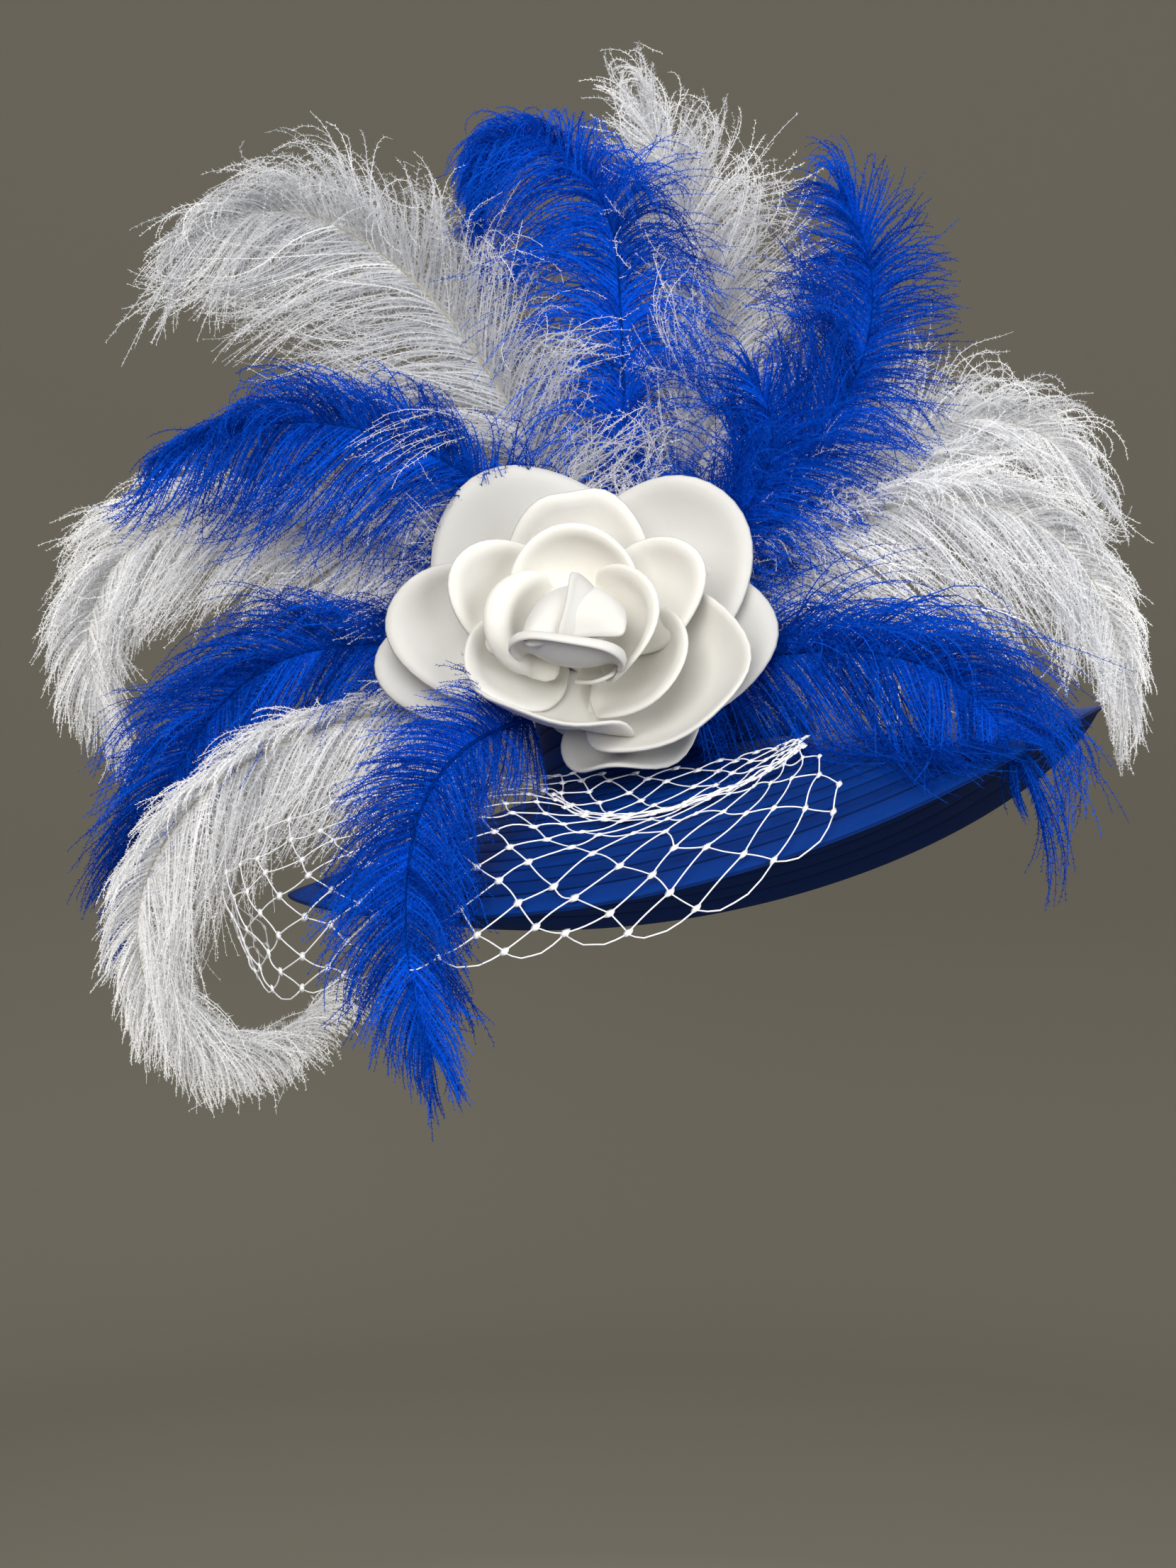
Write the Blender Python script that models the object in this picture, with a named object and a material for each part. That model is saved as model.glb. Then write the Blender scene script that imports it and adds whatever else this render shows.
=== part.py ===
"""A wide church hat: a royal blue braid crown and brim, a white foam flower, thirteen ostrich plumes and net veiling.

The hat stands as it is worn, tipped to one side, with +Z up and the wearer's face towards -Y.
The origin is the centre of the head opening. Everything is in metres.
"""

import math
from collections import namedtuple

import bmesh
import bpy
from mathutils import Matrix, Vector

MM = 0.001
GAP = 0.3 * MM  # left between two pieces that rest on each other

# How the hat sits on the head
ROLL = math.radians(12.2)  # the wearer's left side is up
PITCH = math.radians(6.6)  # the back is down
YAW = math.radians(8.0)  # the front is turned to the wearer's right
WORN = Matrix.Rotation(-ROLL, 4, "Y") @ Matrix.Rotation(-PITCH, 4, "X") @ Matrix.Rotation(-YAW, 4, "Z")

# The crown and the brim, in the hat's own frame
HEAD_HALF_WIDTH = 80 * MM
HEAD_HALF_LENGTH = 96 * MM
CROWN_HEIGHT = 106 * MM
WALL = 2 * MM
AROUND = 48
CROWN_RINGS = 6
CROWN_SIDE_POWER = 0.5
CROWN_TOP_POWER = 0.8
BRIM_HALF_WIDTH = 234 * MM
BRIM_HALF_LENGTH = 240 * MM
BRIM_SIDE_DROP = 19 * MM
BRIM_FRONT_DROP = 76 * MM
BRIM_STEPS = (0, 0.2, 0.4, 0.6, 0.8, 0.92, 1.0)
BRIM_BEND = 0.25  # the share of the drop that comes late, towards the edge
FRONT_SWEEP = 2.0  # how softly the edge falls from the sides to the front
BACK_SWEEP = 1.3

# The turned block under the flower, which the quills and the petals are set into
BLOCK_PLACE = Vector((-55, -101, 55)) * MM
FLOWER_UP = math.radians(18)
FLOWER_TURN = math.radians(-6)
BLOCK_RADIUS = 31 * MM
BLOCK_REACH = 34 * MM  # how far its back runs before it is cut to the crown
CORE_RADIUS = 12 * MM
CORE_TIP_RADIUS = 5 * MM
CORE_HEIGHT = 54 * MM
FLOWER = (
    Matrix.Translation(BLOCK_PLACE)
    @ Matrix.Rotation(FLOWER_TURN, 4, "Z")
    @ Matrix.Rotation(math.pi / 2 - FLOWER_UP, 4, "X")
)

Finish = namedtuple("Finish", "name colour roughness")
BRAID = Finish("satin_braid", (0.005, 0.06, 0.42), 0.38)
FOAM = Finish("white_foam", (0.86, 0.85, 0.80), 0.5)
BLUE_PLUME = Finish("blue_ostrich", (0.003, 0.045, 0.52), 0.8)
WHITE_PLUME = Finish("white_ostrich", (0.80, 0.80, 0.82), 0.8)
NETTING = Finish("white_netting", (0.88, 0.88, 0.90), 0.45)
FELT = Finish("white_felt", (0.75, 0.75, 0.73), 0.9)

made_finishes = {}


def material_of(finish):
    """The Principled material of a finish, made once."""
    if finish.name not in made_finishes:
        material = bpy.data.materials.new(finish.name)
        material.use_nodes = True
        shader = material.node_tree.nodes["Principled BSDF"]
        shader.inputs["Base Color"].default_value = (*finish.colour, 1)
        shader.inputs["Roughness"].default_value = finish.roughness
        shader.inputs["Metallic"].default_value = 0
        made_finishes[finish.name] = material
    return made_finishes[finish.name]


def sewn(name, shape, finish, parent=None, thickness=0, offset=0):
    """An object from a bmesh, given a wall by Solidify where it is a sheet."""
    bmesh.ops.recalc_face_normals(shape, faces=shape.faces)
    mesh = bpy.data.meshes.new(name)
    shape.to_mesh(mesh)
    shape.free()
    mesh.shade_smooth()
    mesh.set_sharp_from_angle(angle=math.radians(40))
    mesh.materials.append(material_of(finish))
    obj = bpy.data.objects.new(name, mesh)
    bpy.context.scene.collection.objects.link(obj)
    obj.parent = parent
    if thickness:
        wall = obj.modifiers.new("wall", "SOLIDIFY")
        wall.thickness = thickness
        wall.offset = offset
    return obj


def between(low, high, share):
    return low + (high - low) * share


def eased(value, start, end):
    """0 before start and 1 after end, with a soft step between them."""
    share = min(1, max(0, (value - start) / (end - start)))
    return share * share * (3 - 2 * share)


def quad_strip(shape, first, second, closed=True):
    """Faces between two rows of vertices of the same length."""
    count = len(first)
    for i in range(count if closed else count - 1):
        j = (i + 1) % count
        shape.faces.new((first[i], first[j], second[j], second[i]))


def oval_ring(shape, half_width, half_length, height):
    angles = [2 * math.pi * i / AROUND for i in range(AROUND)]
    return [
        shape.verts.new((half_width * math.cos(a), half_length * math.sin(a), height))
        for a in angles
    ]


def crown_surface(spread):
    """The crown's dome, grown outwards by spread."""
    shape = bmesh.new()
    rings = []
    for k in range(CROWN_RINGS):
        q = math.pi / 2 * k / CROWN_RINGS
        scale = math.cos(q) ** CROWN_SIDE_POWER
        height = (CROWN_HEIGHT + spread) * math.sin(q) ** CROWN_TOP_POWER
        rings.append(
            oval_ring(
                shape,
                (HEAD_HALF_WIDTH + spread) * scale,
                (HEAD_HALF_LENGTH + spread) * scale,
                height,
            )
        )
    for lower, upper in zip(rings, rings[1:]):
        quad_strip(shape, lower, upper)
    top = shape.verts.new((0, 0, CROWN_HEIGHT + spread))
    for i, vertex in enumerate(rings[-1]):
        shape.faces.new((vertex, rings[-1][(i + 1) % AROUND], top))
    return shape, rings[0]


def crown(hat):
    shape, _ = crown_surface(0)
    return sewn("crown", shape, BRAID, hat, WALL, -1)


def crown_cutter(hat):
    """A closed dome a gap larger than the crown, which trims the block's back."""
    shape, base = crown_surface(GAP)
    shape.faces.new(list(reversed(base)))
    cutter = sewn("crown_cutter", shape, FELT, hat)
    cutter.hide_render = True
    cutter.display_type = "WIRE"
    return cutter


def brim_point(angle, share):
    """A point of the brim's upper side: angle 0 is the wearer's left, -90 degrees the front."""
    x = between(HEAD_HALF_WIDTH + GAP, BRIM_HALF_WIDTH, share) * math.cos(angle)
    y = between(HEAD_HALF_LENGTH + GAP, BRIM_HALF_LENGTH, share) * math.sin(angle)
    sweep = BACK_SWEEP if math.sin(angle) > 0 else FRONT_SWEEP
    drop = between(BRIM_SIDE_DROP, BRIM_FRONT_DROP, abs(math.sin(angle)) ** sweep)
    return Vector((x, y, -drop * ((1 - BRIM_BEND) * share + BRIM_BEND * share**2)))


def brim(hat):
    """The wide brim, down at the front and the back and up at the sides."""
    shape = bmesh.new()
    rings = []
    for share in BRIM_STEPS:
        angles = [2 * math.pi * i / AROUND for i in range(AROUND)]
        rings.append([shape.verts.new(brim_point(a, share)) for a in angles])
    for inner, outer in zip(rings, rings[1:]):
        quad_strip(shape, inner, outer)
    return sewn("brim", shape, BRAID, hat, WALL, -1)


def trim_block(cutter):
    """The felt block behind the flower, turned in one piece and cut to the crown's curve."""
    profile = (
        (0, -BLOCK_REACH),
        (BLOCK_RADIUS, -BLOCK_REACH),
        (BLOCK_RADIUS, 0),
        (CORE_RADIUS, 0),
        (CORE_TIP_RADIUS, CORE_HEIGHT),
        (0, CORE_HEIGHT),
    )
    shape = bmesh.new()
    points = [shape.verts.new((r, 0, z)) for r, z in profile]
    edges = [shape.edges.new(pair) for pair in zip(points, points[1:])]
    bmesh.ops.spin(
        shape,
        geom=points + edges,
        cent=(0, 0, 0),
        axis=(0, 0, 1),
        angle=2 * math.pi,
        steps=28,
        use_merge=True,
    )
    bmesh.ops.remove_doubles(shape, verts=shape.verts, dist=0.01 * MM)
    block = sewn("trim_block", shape, FELT)
    block.matrix_world = FLOWER
    cut = block.modifiers.new("crown_curve", "BOOLEAN")
    cut.operation = "DIFFERENCE"
    cut.object = cutter
    return block


# The flower's petals, from the brim side to the heart. angle runs anticlockwise from the viewer's
# right, height is where the root meets the core, open_root and open_tip are the petal's angles
# from the flower's axis, and cup is how far its middle bellies back.
Petal = namedtuple("Petal", "name angle height open_root open_tip length width cup")
PETALS = (
    Petal("petal_outer_low", 294, 2.6, 87, 66, 64, 76, 2),
    Petal("petal_outer_low_left", 187, 5.0, 86, 76, 98, 74, 3),
    Petal("petal_outer_right", 12, 6.6, 83, 72, 88, 76, 4),
    Petal("petal_outer_top_left", 113, 7.0, 84, 75, 100, 112, 4),
    Petal("petal_outer_top_right", 50, 11.2, 81, 70, 96, 96, 4),
    Petal("petal_outer_left", 167, 11.0, 80, 70, 96, 82, 4),
    Petal("petal_outer_low_right", 335, 16.0, 78, 58, 80, 88, 4),
    Petal("petal_outer_front", 236, 13.4, 80, 36, 72, 80, 4),
    Petal("petal_middle_top", 93, 19.4, 76, 52, 74, 68, 4),
    Petal("petal_middle_right", 33, 24.0, 71, 50, 70, 60, 4),
    Petal("petal_middle_left", 151, 24.4, 72, 50, 70, 62, 4),
    Petal("petal_middle_low_right", 333, 18.6, 74, 48, 58, 54, 3),
    Petal("petal_middle_low_left", 205, 17.6, 73, 46, 56, 54, 3),
    Petal("petal_inner_top", 96, 29.0, 66, 32, 54, 60, 3),
    Petal("petal_inner_right", 16, 33.0, 60, 22, 52, 56, 3),
    Petal("petal_inner_left", 170, 33.6, 60, 22, 48, 58, 3),
    Petal("petal_inner_low", 298, 26.0, 62, 14, 36, 26, 2),
    Petal("petal_heart_top", 84, 41.0, 50, -6, 26, 36, 2),
    Petal("petal_heart_low", 250, 38.6, 58, 4, 26, 44, 2),
    Petal("petal_heart_right", 345, 45.0, 42, -10, 20, 24, 1),
)
PETAL_WALL = 2.2 * MM
PETAL_ROOT_WIDTH = 9 * MM
PETAL_ALONG = (0, 0.22, 0.48, 0.74, 0.92, 1.0)
PETAL_ACROSS = (-1, -0.6, 0, 0.6, 1)


def core_radius(height):
    return between(CORE_RADIUS, CORE_TIP_RADIUS, height / CORE_HEIGHT)


def petal_half_width(petal, share):
    """Narrow at the root, widest at two thirds and round at the tip."""
    swell = math.sin(math.pi * min(1, share * 0.5 / 0.62) ** 1.1) if share < 0.62 else 1
    rounding = math.sqrt(max(0.1, 1 - ((share - 0.62) / 0.4) ** 2)) if share > 0.62 else 1
    return between(PETAL_ROOT_WIDTH, petal.width * MM, min(swell, 1)) / 2 * rounding


def petal_midrib(petal, share, steps=24):
    """Distance from the axis and height of the petal's middle line."""
    root_edge = PETAL_WALL / 2 * math.cos(math.radians(petal.open_root))
    radius = core_radius(petal.height * MM) + GAP + root_edge
    height = petal.height * MM
    step = petal.length * MM * share / steps
    for k in range(steps):
        done = share * (k + 0.5) / steps
        opened = math.radians(between(petal.open_root, petal.open_tip, done))
        radius += math.sin(opened) * step
        height += math.cos(opened) * step
    return radius, height, math.radians(between(petal.open_root, petal.open_tip, share))


def petal_point(petal, along, across):
    """A point of the petal's middle sheet in the flower's frame."""
    radius, height, opened = petal_midrib(petal, along)
    half = petal_half_width(petal, along)
    reach = max(radius, half / math.radians(75))
    turn = across * half / reach
    belly = petal.cup * MM * (1 - across**2) * math.sin(math.pi * min(1, along * 1.1))
    radius += belly * math.cos(opened)
    height -= belly * math.sin(opened)
    angle = math.radians(petal.angle) + turn
    inward = reach * (1 - math.cos(turn)) - (radius * (1 - math.cos(turn)))
    place = Vector((radius * math.cos(angle), radius * math.sin(angle), height))
    return place - Vector((math.cos(angle), math.sin(angle), 0)) * inward


def petal_piece(petal):
    shape = bmesh.new()
    rows = [
        [shape.verts.new(petal_point(petal, v, u)) for u in PETAL_ACROSS]
        for v in PETAL_ALONG
    ]
    for lower, upper in zip(rows, rows[1:]):
        quad_strip(shape, lower, upper, closed=False)
    obj = sewn(petal.name, shape, FOAM, None, PETAL_WALL, 0)
    obj.matrix_world = FLOWER
    return obj


# The plumes. ring is where the quill enters the block and back how far behind its front face.
# headings are the quill's directions in the front view at equal steps from the root to the tip,
# anticlockwise from the viewer's right; leans, likewise, are how far it comes towards the viewer.
# left and right are the barbs' lengths on the two sides of the quill as it grows, and fold tips
# both webs towards the viewer.
Plume = namedtuple(
    "Plume", "name finish ring back headings leans length left right droop fold"
)
PLUMES = (
    Plume("plume_blue_top", BLUE_PLUME, 80, 6, (80, 84, 94, 102, 162, 292), (-22, -10, 10), 392, 62, 46, 0.2, 12),
    Plume("plume_white_top_left", WHITE_PLUME, 106, 3, (100, 104, 124, 138, 176, 244), (-16, -8, 4), 384, 78, 46, 0.5, 12),
    Plume("plume_blue_left_high", BLUE_PLUME, 120, 5, (112, 120, 150, 169, 198, 222), (-6, -6, 0), 290, 60, 32, 0.4, 12),
    Plume("plume_white_left", WHITE_PLUME, 156, 5, (150, 161, 172, 190, 254, 305), (-22, -16, -4), 376, 48, 42, 0.5, 12),
    Plume("plume_blue_left_low", BLUE_PLUME, 182, 3, (168, 170, 192, 226, 246, 262), (-16, -10, -4), 310, 48, 46, 0.5, 12),
    Plume("plume_white_low_left", WHITE_PLUME, 206, 5, (186, 190, 214, 254, 318, 412), (-8, -4, 4), 428, 54, 32, 0.3, 12),
    Plume("plume_blue_low_front", BLUE_PLUME, 234, 3, (194, 208, 240, 264, 276, 290), (49, 38, -4), 252, 42, 42, 0.1, 8),
    Plume("plume_white_top", WHITE_PLUME, 62, 3, (60, 64, 74, 94, 112, 112), (-28, -18, 2), 354, 50, 60, 0.3, 12),
    Plume("plume_blue_top_right", BLUE_PLUME, 42, 6, (48, 48, 48, 60, 90, 122), (-10, -8, 4), 310, 50, 52, 0.3, 12),
    Plume("plume_blue_short", BLUE_PLUME, 54, 5, (38, 40, 46, 60, 90, 130), (4, 6, 18), 168, 40, 40, 0.5, 20),
    Plume("plume_white_right_high", WHITE_PLUME, 26, 3, (38, 38, 39, 36, -6, -60), (-26, -16, 0), 336, 50, 50, 0.5, 12),
    Plume("plume_white_right_low", WHITE_PLUME, 12, 6, (36, 34, 13, -28, -72, -84), (-14, -2, 2), 408, 24, 50, 0.35, 12),
    Plume("plume_blue_right_low", BLUE_PLUME, -12, 4, (9, 9, 3, -9, -34, -90), (8, 26, 14), 240, 42, 44, 0.35, 32),
)
QUILL_HALF = 1.7 * MM
QUILL_TAPER = 0.6
BARE_QUILL = 0.14  # the share of the quill that carries no barbs
LOCKS = 7
LockSection = namedtuple("LockSection", "out margin half")  # share of the barb, side gap, mm
LOCK_SECTIONS = (LockSection(0.5, 0.06, 2.4), LockSection(1.0, 0.22, 1.2))
BARB_SWEEP = math.radians(52)
BARB_TURN = 0.35  # how far the barbs turn towards the quill's tip
FIRST_BARBS = 0.45  # their length where the web begins, as a share of the longest
LAST_BARBS = 0.55
TIP_LOCK = 0.9  # the length of the lock that ends the plume, as a share of its last barbs
TIP_LOCK_WIDTH = 0.16
TIP_LOCK_HALF = 2.4 * MM
SPINE_STEPS = 40
BARB_STEPS = 6


def smooth_between(values, share):
    """The value at a share of an evenly spaced row, on a smooth curve through all of them."""
    place = min(share, 1) * (len(values) - 1)
    k = min(int(place), len(values) - 2)
    t = place - k
    before, low, high, after = (values[min(max(i, 0), len(values) - 1)] for i in range(k - 1, k + 3))
    bend = 2 * before - 5 * low + 4 * high - after
    twist = 3 * (low - high) + after - before
    return low + 0.5 * t * (high - before + t * (bend + t * twist))


def heading(plume, share):
    """The quill's direction at a share of its length."""
    turn = math.radians(smooth_between(plume.headings, share))
    lean = math.radians(smooth_between(plume.leans, share))
    return Vector((math.cos(lean) * math.cos(turn), -math.sin(lean), math.cos(lean) * math.sin(turn)))


def quill_sides(along):
    """The directions across the quill and out of its front."""
    across = Vector((0, -1, 0)).cross(along).normalized()
    return across, along.cross(across).normalized()


def plume_root(plume):
    """Where the quill's end stands off the block's rim, in the row's frame."""
    ring = math.radians(plume.ring)
    outwards = FLOWER.to_3x3() @ Vector((math.cos(ring), math.sin(ring), 0))
    corner = sum(abs(side.dot(outwards)) for side in quill_sides(heading(plume, 0)))
    stand_off = BLOCK_RADIUS + GAP + QUILL_HALF * corner
    return FLOWER @ Vector((stand_off * math.cos(ring), stand_off * math.sin(ring), -plume.back * MM))


def spine(plume):
    """Points and directions along the quill."""
    places, directions = [plume_root(plume)], [heading(plume, 0)]
    step = plume.length * MM / SPINE_STEPS
    for k in range(SPINE_STEPS):
        places.append(places[-1] + heading(plume, (k + 0.5) / SPINE_STEPS) * step)
        directions.append(heading(plume, (k + 1) / SPINE_STEPS))
    return places, directions


def spine_at(line, share):
    """Place, direction, side and front of the quill at a share of its length."""
    places, directions = line
    k = min(int(share * SPINE_STEPS), SPINE_STEPS - 1)
    rest = share * SPINE_STEPS - k
    place = places[k].lerp(places[k + 1], rest)
    along = directions[k].lerp(directions[k + 1], rest).normalized()
    return place, along, *quill_sides(along)


def barb_length(plume, share, side):
    """Short where the web begins, longest past the middle, shorter again at the tip."""
    reach = plume.left if side > 0 else plume.right
    grown = eased(share, BARE_QUILL * 0.5, 0.5)
    shrunk = between(1, LAST_BARBS, eased(share, 0.75, 1))
    return reach * MM * between(FIRST_BARBS, 1, grown) * shrunk


def barb_point(plume, line, share, side, out):
    """A point of the web: share along the quill, side +1 or -1, out along the barb."""
    place, along, across, front = spine_at(line, share)
    fold = math.radians(plume.fold)
    sideways = across * (side * math.cos(fold)) + front * math.sin(fold)
    start = along * math.cos(BARB_SWEEP) + sideways * math.sin(BARB_SWEEP)
    step = barb_length(plume, share, side) * out / BARB_STEPS
    for k in range(BARB_STEPS):
        done = out * (k + 0.5) / BARB_STEPS
        turned = start + Vector((0, 0, -plume.droop * done)) + along * (BARB_TURN * done)
        place = place + turned.normalized() * step
    return place


def plume_piece(plume):
    """A quill with a row of locks grown out of each of its two sides."""
    line = spine(plume)
    shares = [BARE_QUILL + (1 - BARE_QUILL) * k / LOCKS for k in range(LOCKS + 1)]
    shape = bmesh.new()
    quill = []
    for share in [0] + shares:
        place, _, across, front = spine_at(line, share)
        half = QUILL_HALF * between(1, QUILL_TAPER, share)
        corners = ((1, 1), (-1, 1), (-1, -1), (1, -1))
        quill.append([shape.verts.new(place + across * a * half + front * b * half) for a, b in corners])
    shape.faces.new(list(reversed(quill[0])))
    for k, (lower, upper) in enumerate(zip(quill, quill[1:])):
        shape.faces.new((lower[0], lower[1], upper[1], upper[0]))
        shape.faces.new((lower[2], lower[3], upper[3], upper[2]))
        for side, a, b in ((1, 3, 0), (-1, 1, 2)):
            if k == 0:
                shape.faces.new((lower[a], lower[b], upper[b], upper[a]))
                continue
            ring = [lower[a], lower[b], upper[b], upper[a]]
            begin, end = shares[k - 1], shares[k]
            front = spine_at(line, (begin + end) / 2)[3]
            for cut in LOCK_SECTIONS:
                low = barb_point(plume, line, begin, side, cut.out)
                high = barb_point(plume, line, end, side, cut.out)
                low, high = low.lerp(high, cut.margin), low.lerp(high, 1 - cut.margin)
                lift = front * side * cut.half * MM
                section = [shape.verts.new(p) for p in (low - lift, low + lift, high + lift, high - lift)]
                quad_strip(shape, ring, section)
                ring = section
            shape.faces.new(ring)
    place, along, across, front = spine_at(line, 1)
    reach = barb_length(plume, 1, 1) * TIP_LOCK
    sag = Vector((0, 0, -plume.droop * reach))
    middle = place + along * reach * 0.5 + sag * 0.1
    wide, thick = across * reach * TIP_LOCK_WIDTH, front * TIP_LOCK_HALF
    section = [shape.verts.new(middle + wide * a + thick * b) for a, b in corners]
    quad_strip(shape, quill[-1], section)
    point = shape.verts.new(place + along * reach + sag * 0.4)
    for i in range(4):
        shape.faces.new((section[i], section[(i + 1) % 4], point))
    return sewn(plume.name, shape, plume.finish)


# The veiling: two lengths of wide-meshed net. Each row is a section across the net, from where it
# comes out under the flower to its hem: the angles of its two ends round the brim, and the place of
# its root, crest, bulge and hem, each a share of the brim's width and a height over the brim in mm.
Section = namedtuple("Section", "root_angle hem_angle root crest bulge hem")
FRONT_VEIL = (
    Section(-58, -74, (0.44, 8), (0.64, 12), (0.85, 8), (1.04, 0)),
    Section(-84, -90, (0.36, 1.5), (0.60, 14), (0.86, 8), (1.10, -4)),
    Section(-106, -108, (0.32, 1.5), (0.58, 18), (0.88, 10), (1.10, -8)),
    Section(-124, -124, (0.32, 6), (0.62, 28), (1.00, 14), (1.18, -22)),
    Section(-142, -142, (0.32, 10), (0.68, 44), (1.12, 24), (1.20, -30)),
    Section(-158, -160, (0.34, 16), (0.72, 60), (1.20, 34), (1.16, -34)),
    Section(-170, -174, (0.36, 20), (0.74, 66), (1.20, 40), (1.10, -30)),
)
SIDE_VEIL = (
    Section(-20, -24, (0.30, 0.5), (0.36, 40), (0.60, 62), (0.86, 50)),
    Section(6, 6, (0.30, 0.5), (0.40, 50), (0.66, 72), (0.90, 40)),
    Section(34, 34, (0.30, 0.5), (0.38, 44), (0.60, 60), (0.84, 30)),
)
Veil = namedtuple("Veil", "name sections columns rows")
VEILS = (Veil("veil_front", FRONT_VEIL, 12, 5), Veil("veil_side", SIDE_VEIL, 4, 2))
STRAND_WIDTH = 3.0 * MM
STRAND_THICKNESS = 1.4 * MM


def veil_point(veil, column, row):
    """A point of the net in the hat's frame; column and row are shares from 0 to 1."""
    roots, hems, *places = zip(*veil.sections)
    angle = between(smooth_between(roots, column), smooth_between(hems, column), row)
    shares = [smooth_between([place[0] for place in kind], column) for kind in places]
    heights = [smooth_between([place[1] for place in kind], column) for kind in places]
    lift = Vector((0, 0, smooth_between(heights, row) * MM))
    return brim_point(math.radians(angle), smooth_between(shares, row)) + lift


def veil_piece(veil, hat):
    """Diamonds of net, each pierced by an inset, on a sheet that puffs over the brim."""
    shape = bmesh.new()
    across, down = 2 * veil.columns, 2 * veil.rows
    knots = {
        (i, j): shape.verts.new(veil_point(veil, i / across, j / down))
        for i in range(across + 1)
        for j in range(down + 1)
        if (i + j) % 2 == 0
    }
    cells = []
    for i in range(across + 1):
        for j in range(down + 1):
            corners = [(i - 1, j), (i, j - 1), (i + 1, j), (i, j + 1)]
            if (i + j) % 2 and all(c in knots for c in corners):
                cells.append(shape.faces.new([knots[c] for c in corners]))
    shape.normal_update()
    bmesh.ops.inset_individual(shape, faces=cells, thickness=STRAND_WIDTH / 2, use_even_offset=True)
    bmesh.ops.delete(shape, geom=cells, context="FACES_ONLY")
    bmesh.ops.delete(shape, geom=[v for v in shape.verts if not v.link_faces], context="VERTS")
    return sewn(veil.name, shape, NETTING, hat, STRAND_THICKNESS, 0)


def build():
    for old in list(bpy.data.objects):
        bpy.data.objects.remove(old)
    hat = bpy.data.objects.new("worn_hat", None)
    bpy.context.scene.collection.objects.link(hat)
    hat.matrix_world = WORN
    crown(hat)
    brim(hat)
    trim_block(crown_cutter(hat))
    for petal in PETALS:
        petal_piece(petal)
    for plume in PLUMES:
        plume_piece(plume)
    for veil in VEILS:
        veil_piece(veil, hat)


build()
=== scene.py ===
"""The looks of a wide church hat: satin braid, a foam flower, ostrich plumes and net veiling.

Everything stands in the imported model's frame: metres, +Z up, the wearer's face towards -Y, and the
centre of the head opening at the origin.
"""

import math
from collections import namedtuple

import bpy
import numpy as np
from mathutils import Matrix, Vector


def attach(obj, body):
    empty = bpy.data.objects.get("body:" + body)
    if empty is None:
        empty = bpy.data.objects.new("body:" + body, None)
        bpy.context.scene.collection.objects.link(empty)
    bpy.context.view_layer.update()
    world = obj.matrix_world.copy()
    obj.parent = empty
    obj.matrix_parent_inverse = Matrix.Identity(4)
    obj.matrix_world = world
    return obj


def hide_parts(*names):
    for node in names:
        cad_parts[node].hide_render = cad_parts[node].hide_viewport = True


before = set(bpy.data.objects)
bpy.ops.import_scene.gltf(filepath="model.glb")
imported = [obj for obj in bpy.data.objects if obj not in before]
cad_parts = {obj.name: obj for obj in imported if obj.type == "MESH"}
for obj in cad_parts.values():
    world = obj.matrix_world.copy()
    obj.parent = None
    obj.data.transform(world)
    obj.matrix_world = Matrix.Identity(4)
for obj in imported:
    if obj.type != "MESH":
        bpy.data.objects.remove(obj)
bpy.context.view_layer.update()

# The camera
# It looks level at the hat from a metre in front, as in the photograph, whose frame is 2212 pixels
# high and whose lens is 2500 of them long. The sensor's long side is the frame's height.
PHOTO_HEIGHT = 2212
LENS_PIXELS = 2500
SENSOR = 36  # mm
EYE = (-0.055, -1.025, -0.007)

camera = bpy.data.objects.new("camera", bpy.data.cameras.new("camera"))
camera.data.sensor_width = SENSOR
camera.data.lens = SENSOR * LENS_PIXELS / PHOTO_HEIGHT
camera.location = EYE
camera.rotation_euler = (math.pi / 2, 0, 0)
bpy.context.scene.collection.objects.link(camera)
bpy.context.scene.camera = camera

# The crown and the brim
# A blocked crown and a wide brim of royal blue satin ribbon, 10 mm wide, sewn round and round so that
# each row butts against the last in a thin seam, whose groove is painted dark as shade; the rows under
# the brim and inside the crown are painted darker as shade too. The hat is tipped, the wearer's left side up.
MM = 0.001
ROLL, PITCH, YAW = (math.radians(angle) for angle in (12.2, 6.6, 8.0))
WORN = np.array(
    Matrix.Rotation(-ROLL, 3, "Y") @ Matrix.Rotation(-PITCH, 3, "X") @ Matrix.Rotation(-YAW, 3, "Z")
)
HEAD_HALF_WIDTH = 80 * MM
HEAD_HALF_LENGTH = 96 * MM
CROWN_HEIGHT = 106 * MM
CROWN_SIDE_POWER = 0.5
CROWN_TOP_POWER = 0.8
BRIM_HALF_WIDTH = 234 * MM
BRIM_HALF_LENGTH = 240 * MM
BRIM_SIDE_DROP = 19 * MM
BRIM_FRONT_DROP = 76 * MM
BRIM_BEND = 0.25
FRONT_SWEEP = 2.0
BACK_SWEEP = 1.3
BRAID_WALL = 1.6 * MM
BRAID_STEPS = 160  # points round the hat
SEAM_DEPTH = 0.7 * MM
# Across one row of ribbon: how far over, and how deep under the ribbon's crest, as a share of the seam
RowPoint = namedtuple("RowPoint", "over depth")
RIBBON = (RowPoint(0, 1), RowPoint(0.07, 0.35), RowPoint(0.3, 0.05), RowPoint(0.7, 0), RowPoint(0.95, 0.3))
CROWN_STEPS = 200  # points down the crown's profile that its rows are measured along
CROWN_START = 0.02  # where the first seam lies, as a share of the way from the crown's top to its base
CROWN_ROWS = 15
BRIM_ROWS = 14
EDGE_ROW = 1.5  # the width of the brim's last row, in rows
BRIM_TUCK = 0.012  # how far the brim's first row runs in under the crown, as a share of the brim
SHADED_SIDE_ROWS = 50  # added to the numbers of the rows on the ribbon's wrong side, under the brim and inside the crown, which are painted darker as shade
SATIN_DARK = (0.0, 0.013, 0.10)
SATIN_LIGHT = (0.001, 0.040, 0.26)
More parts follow.
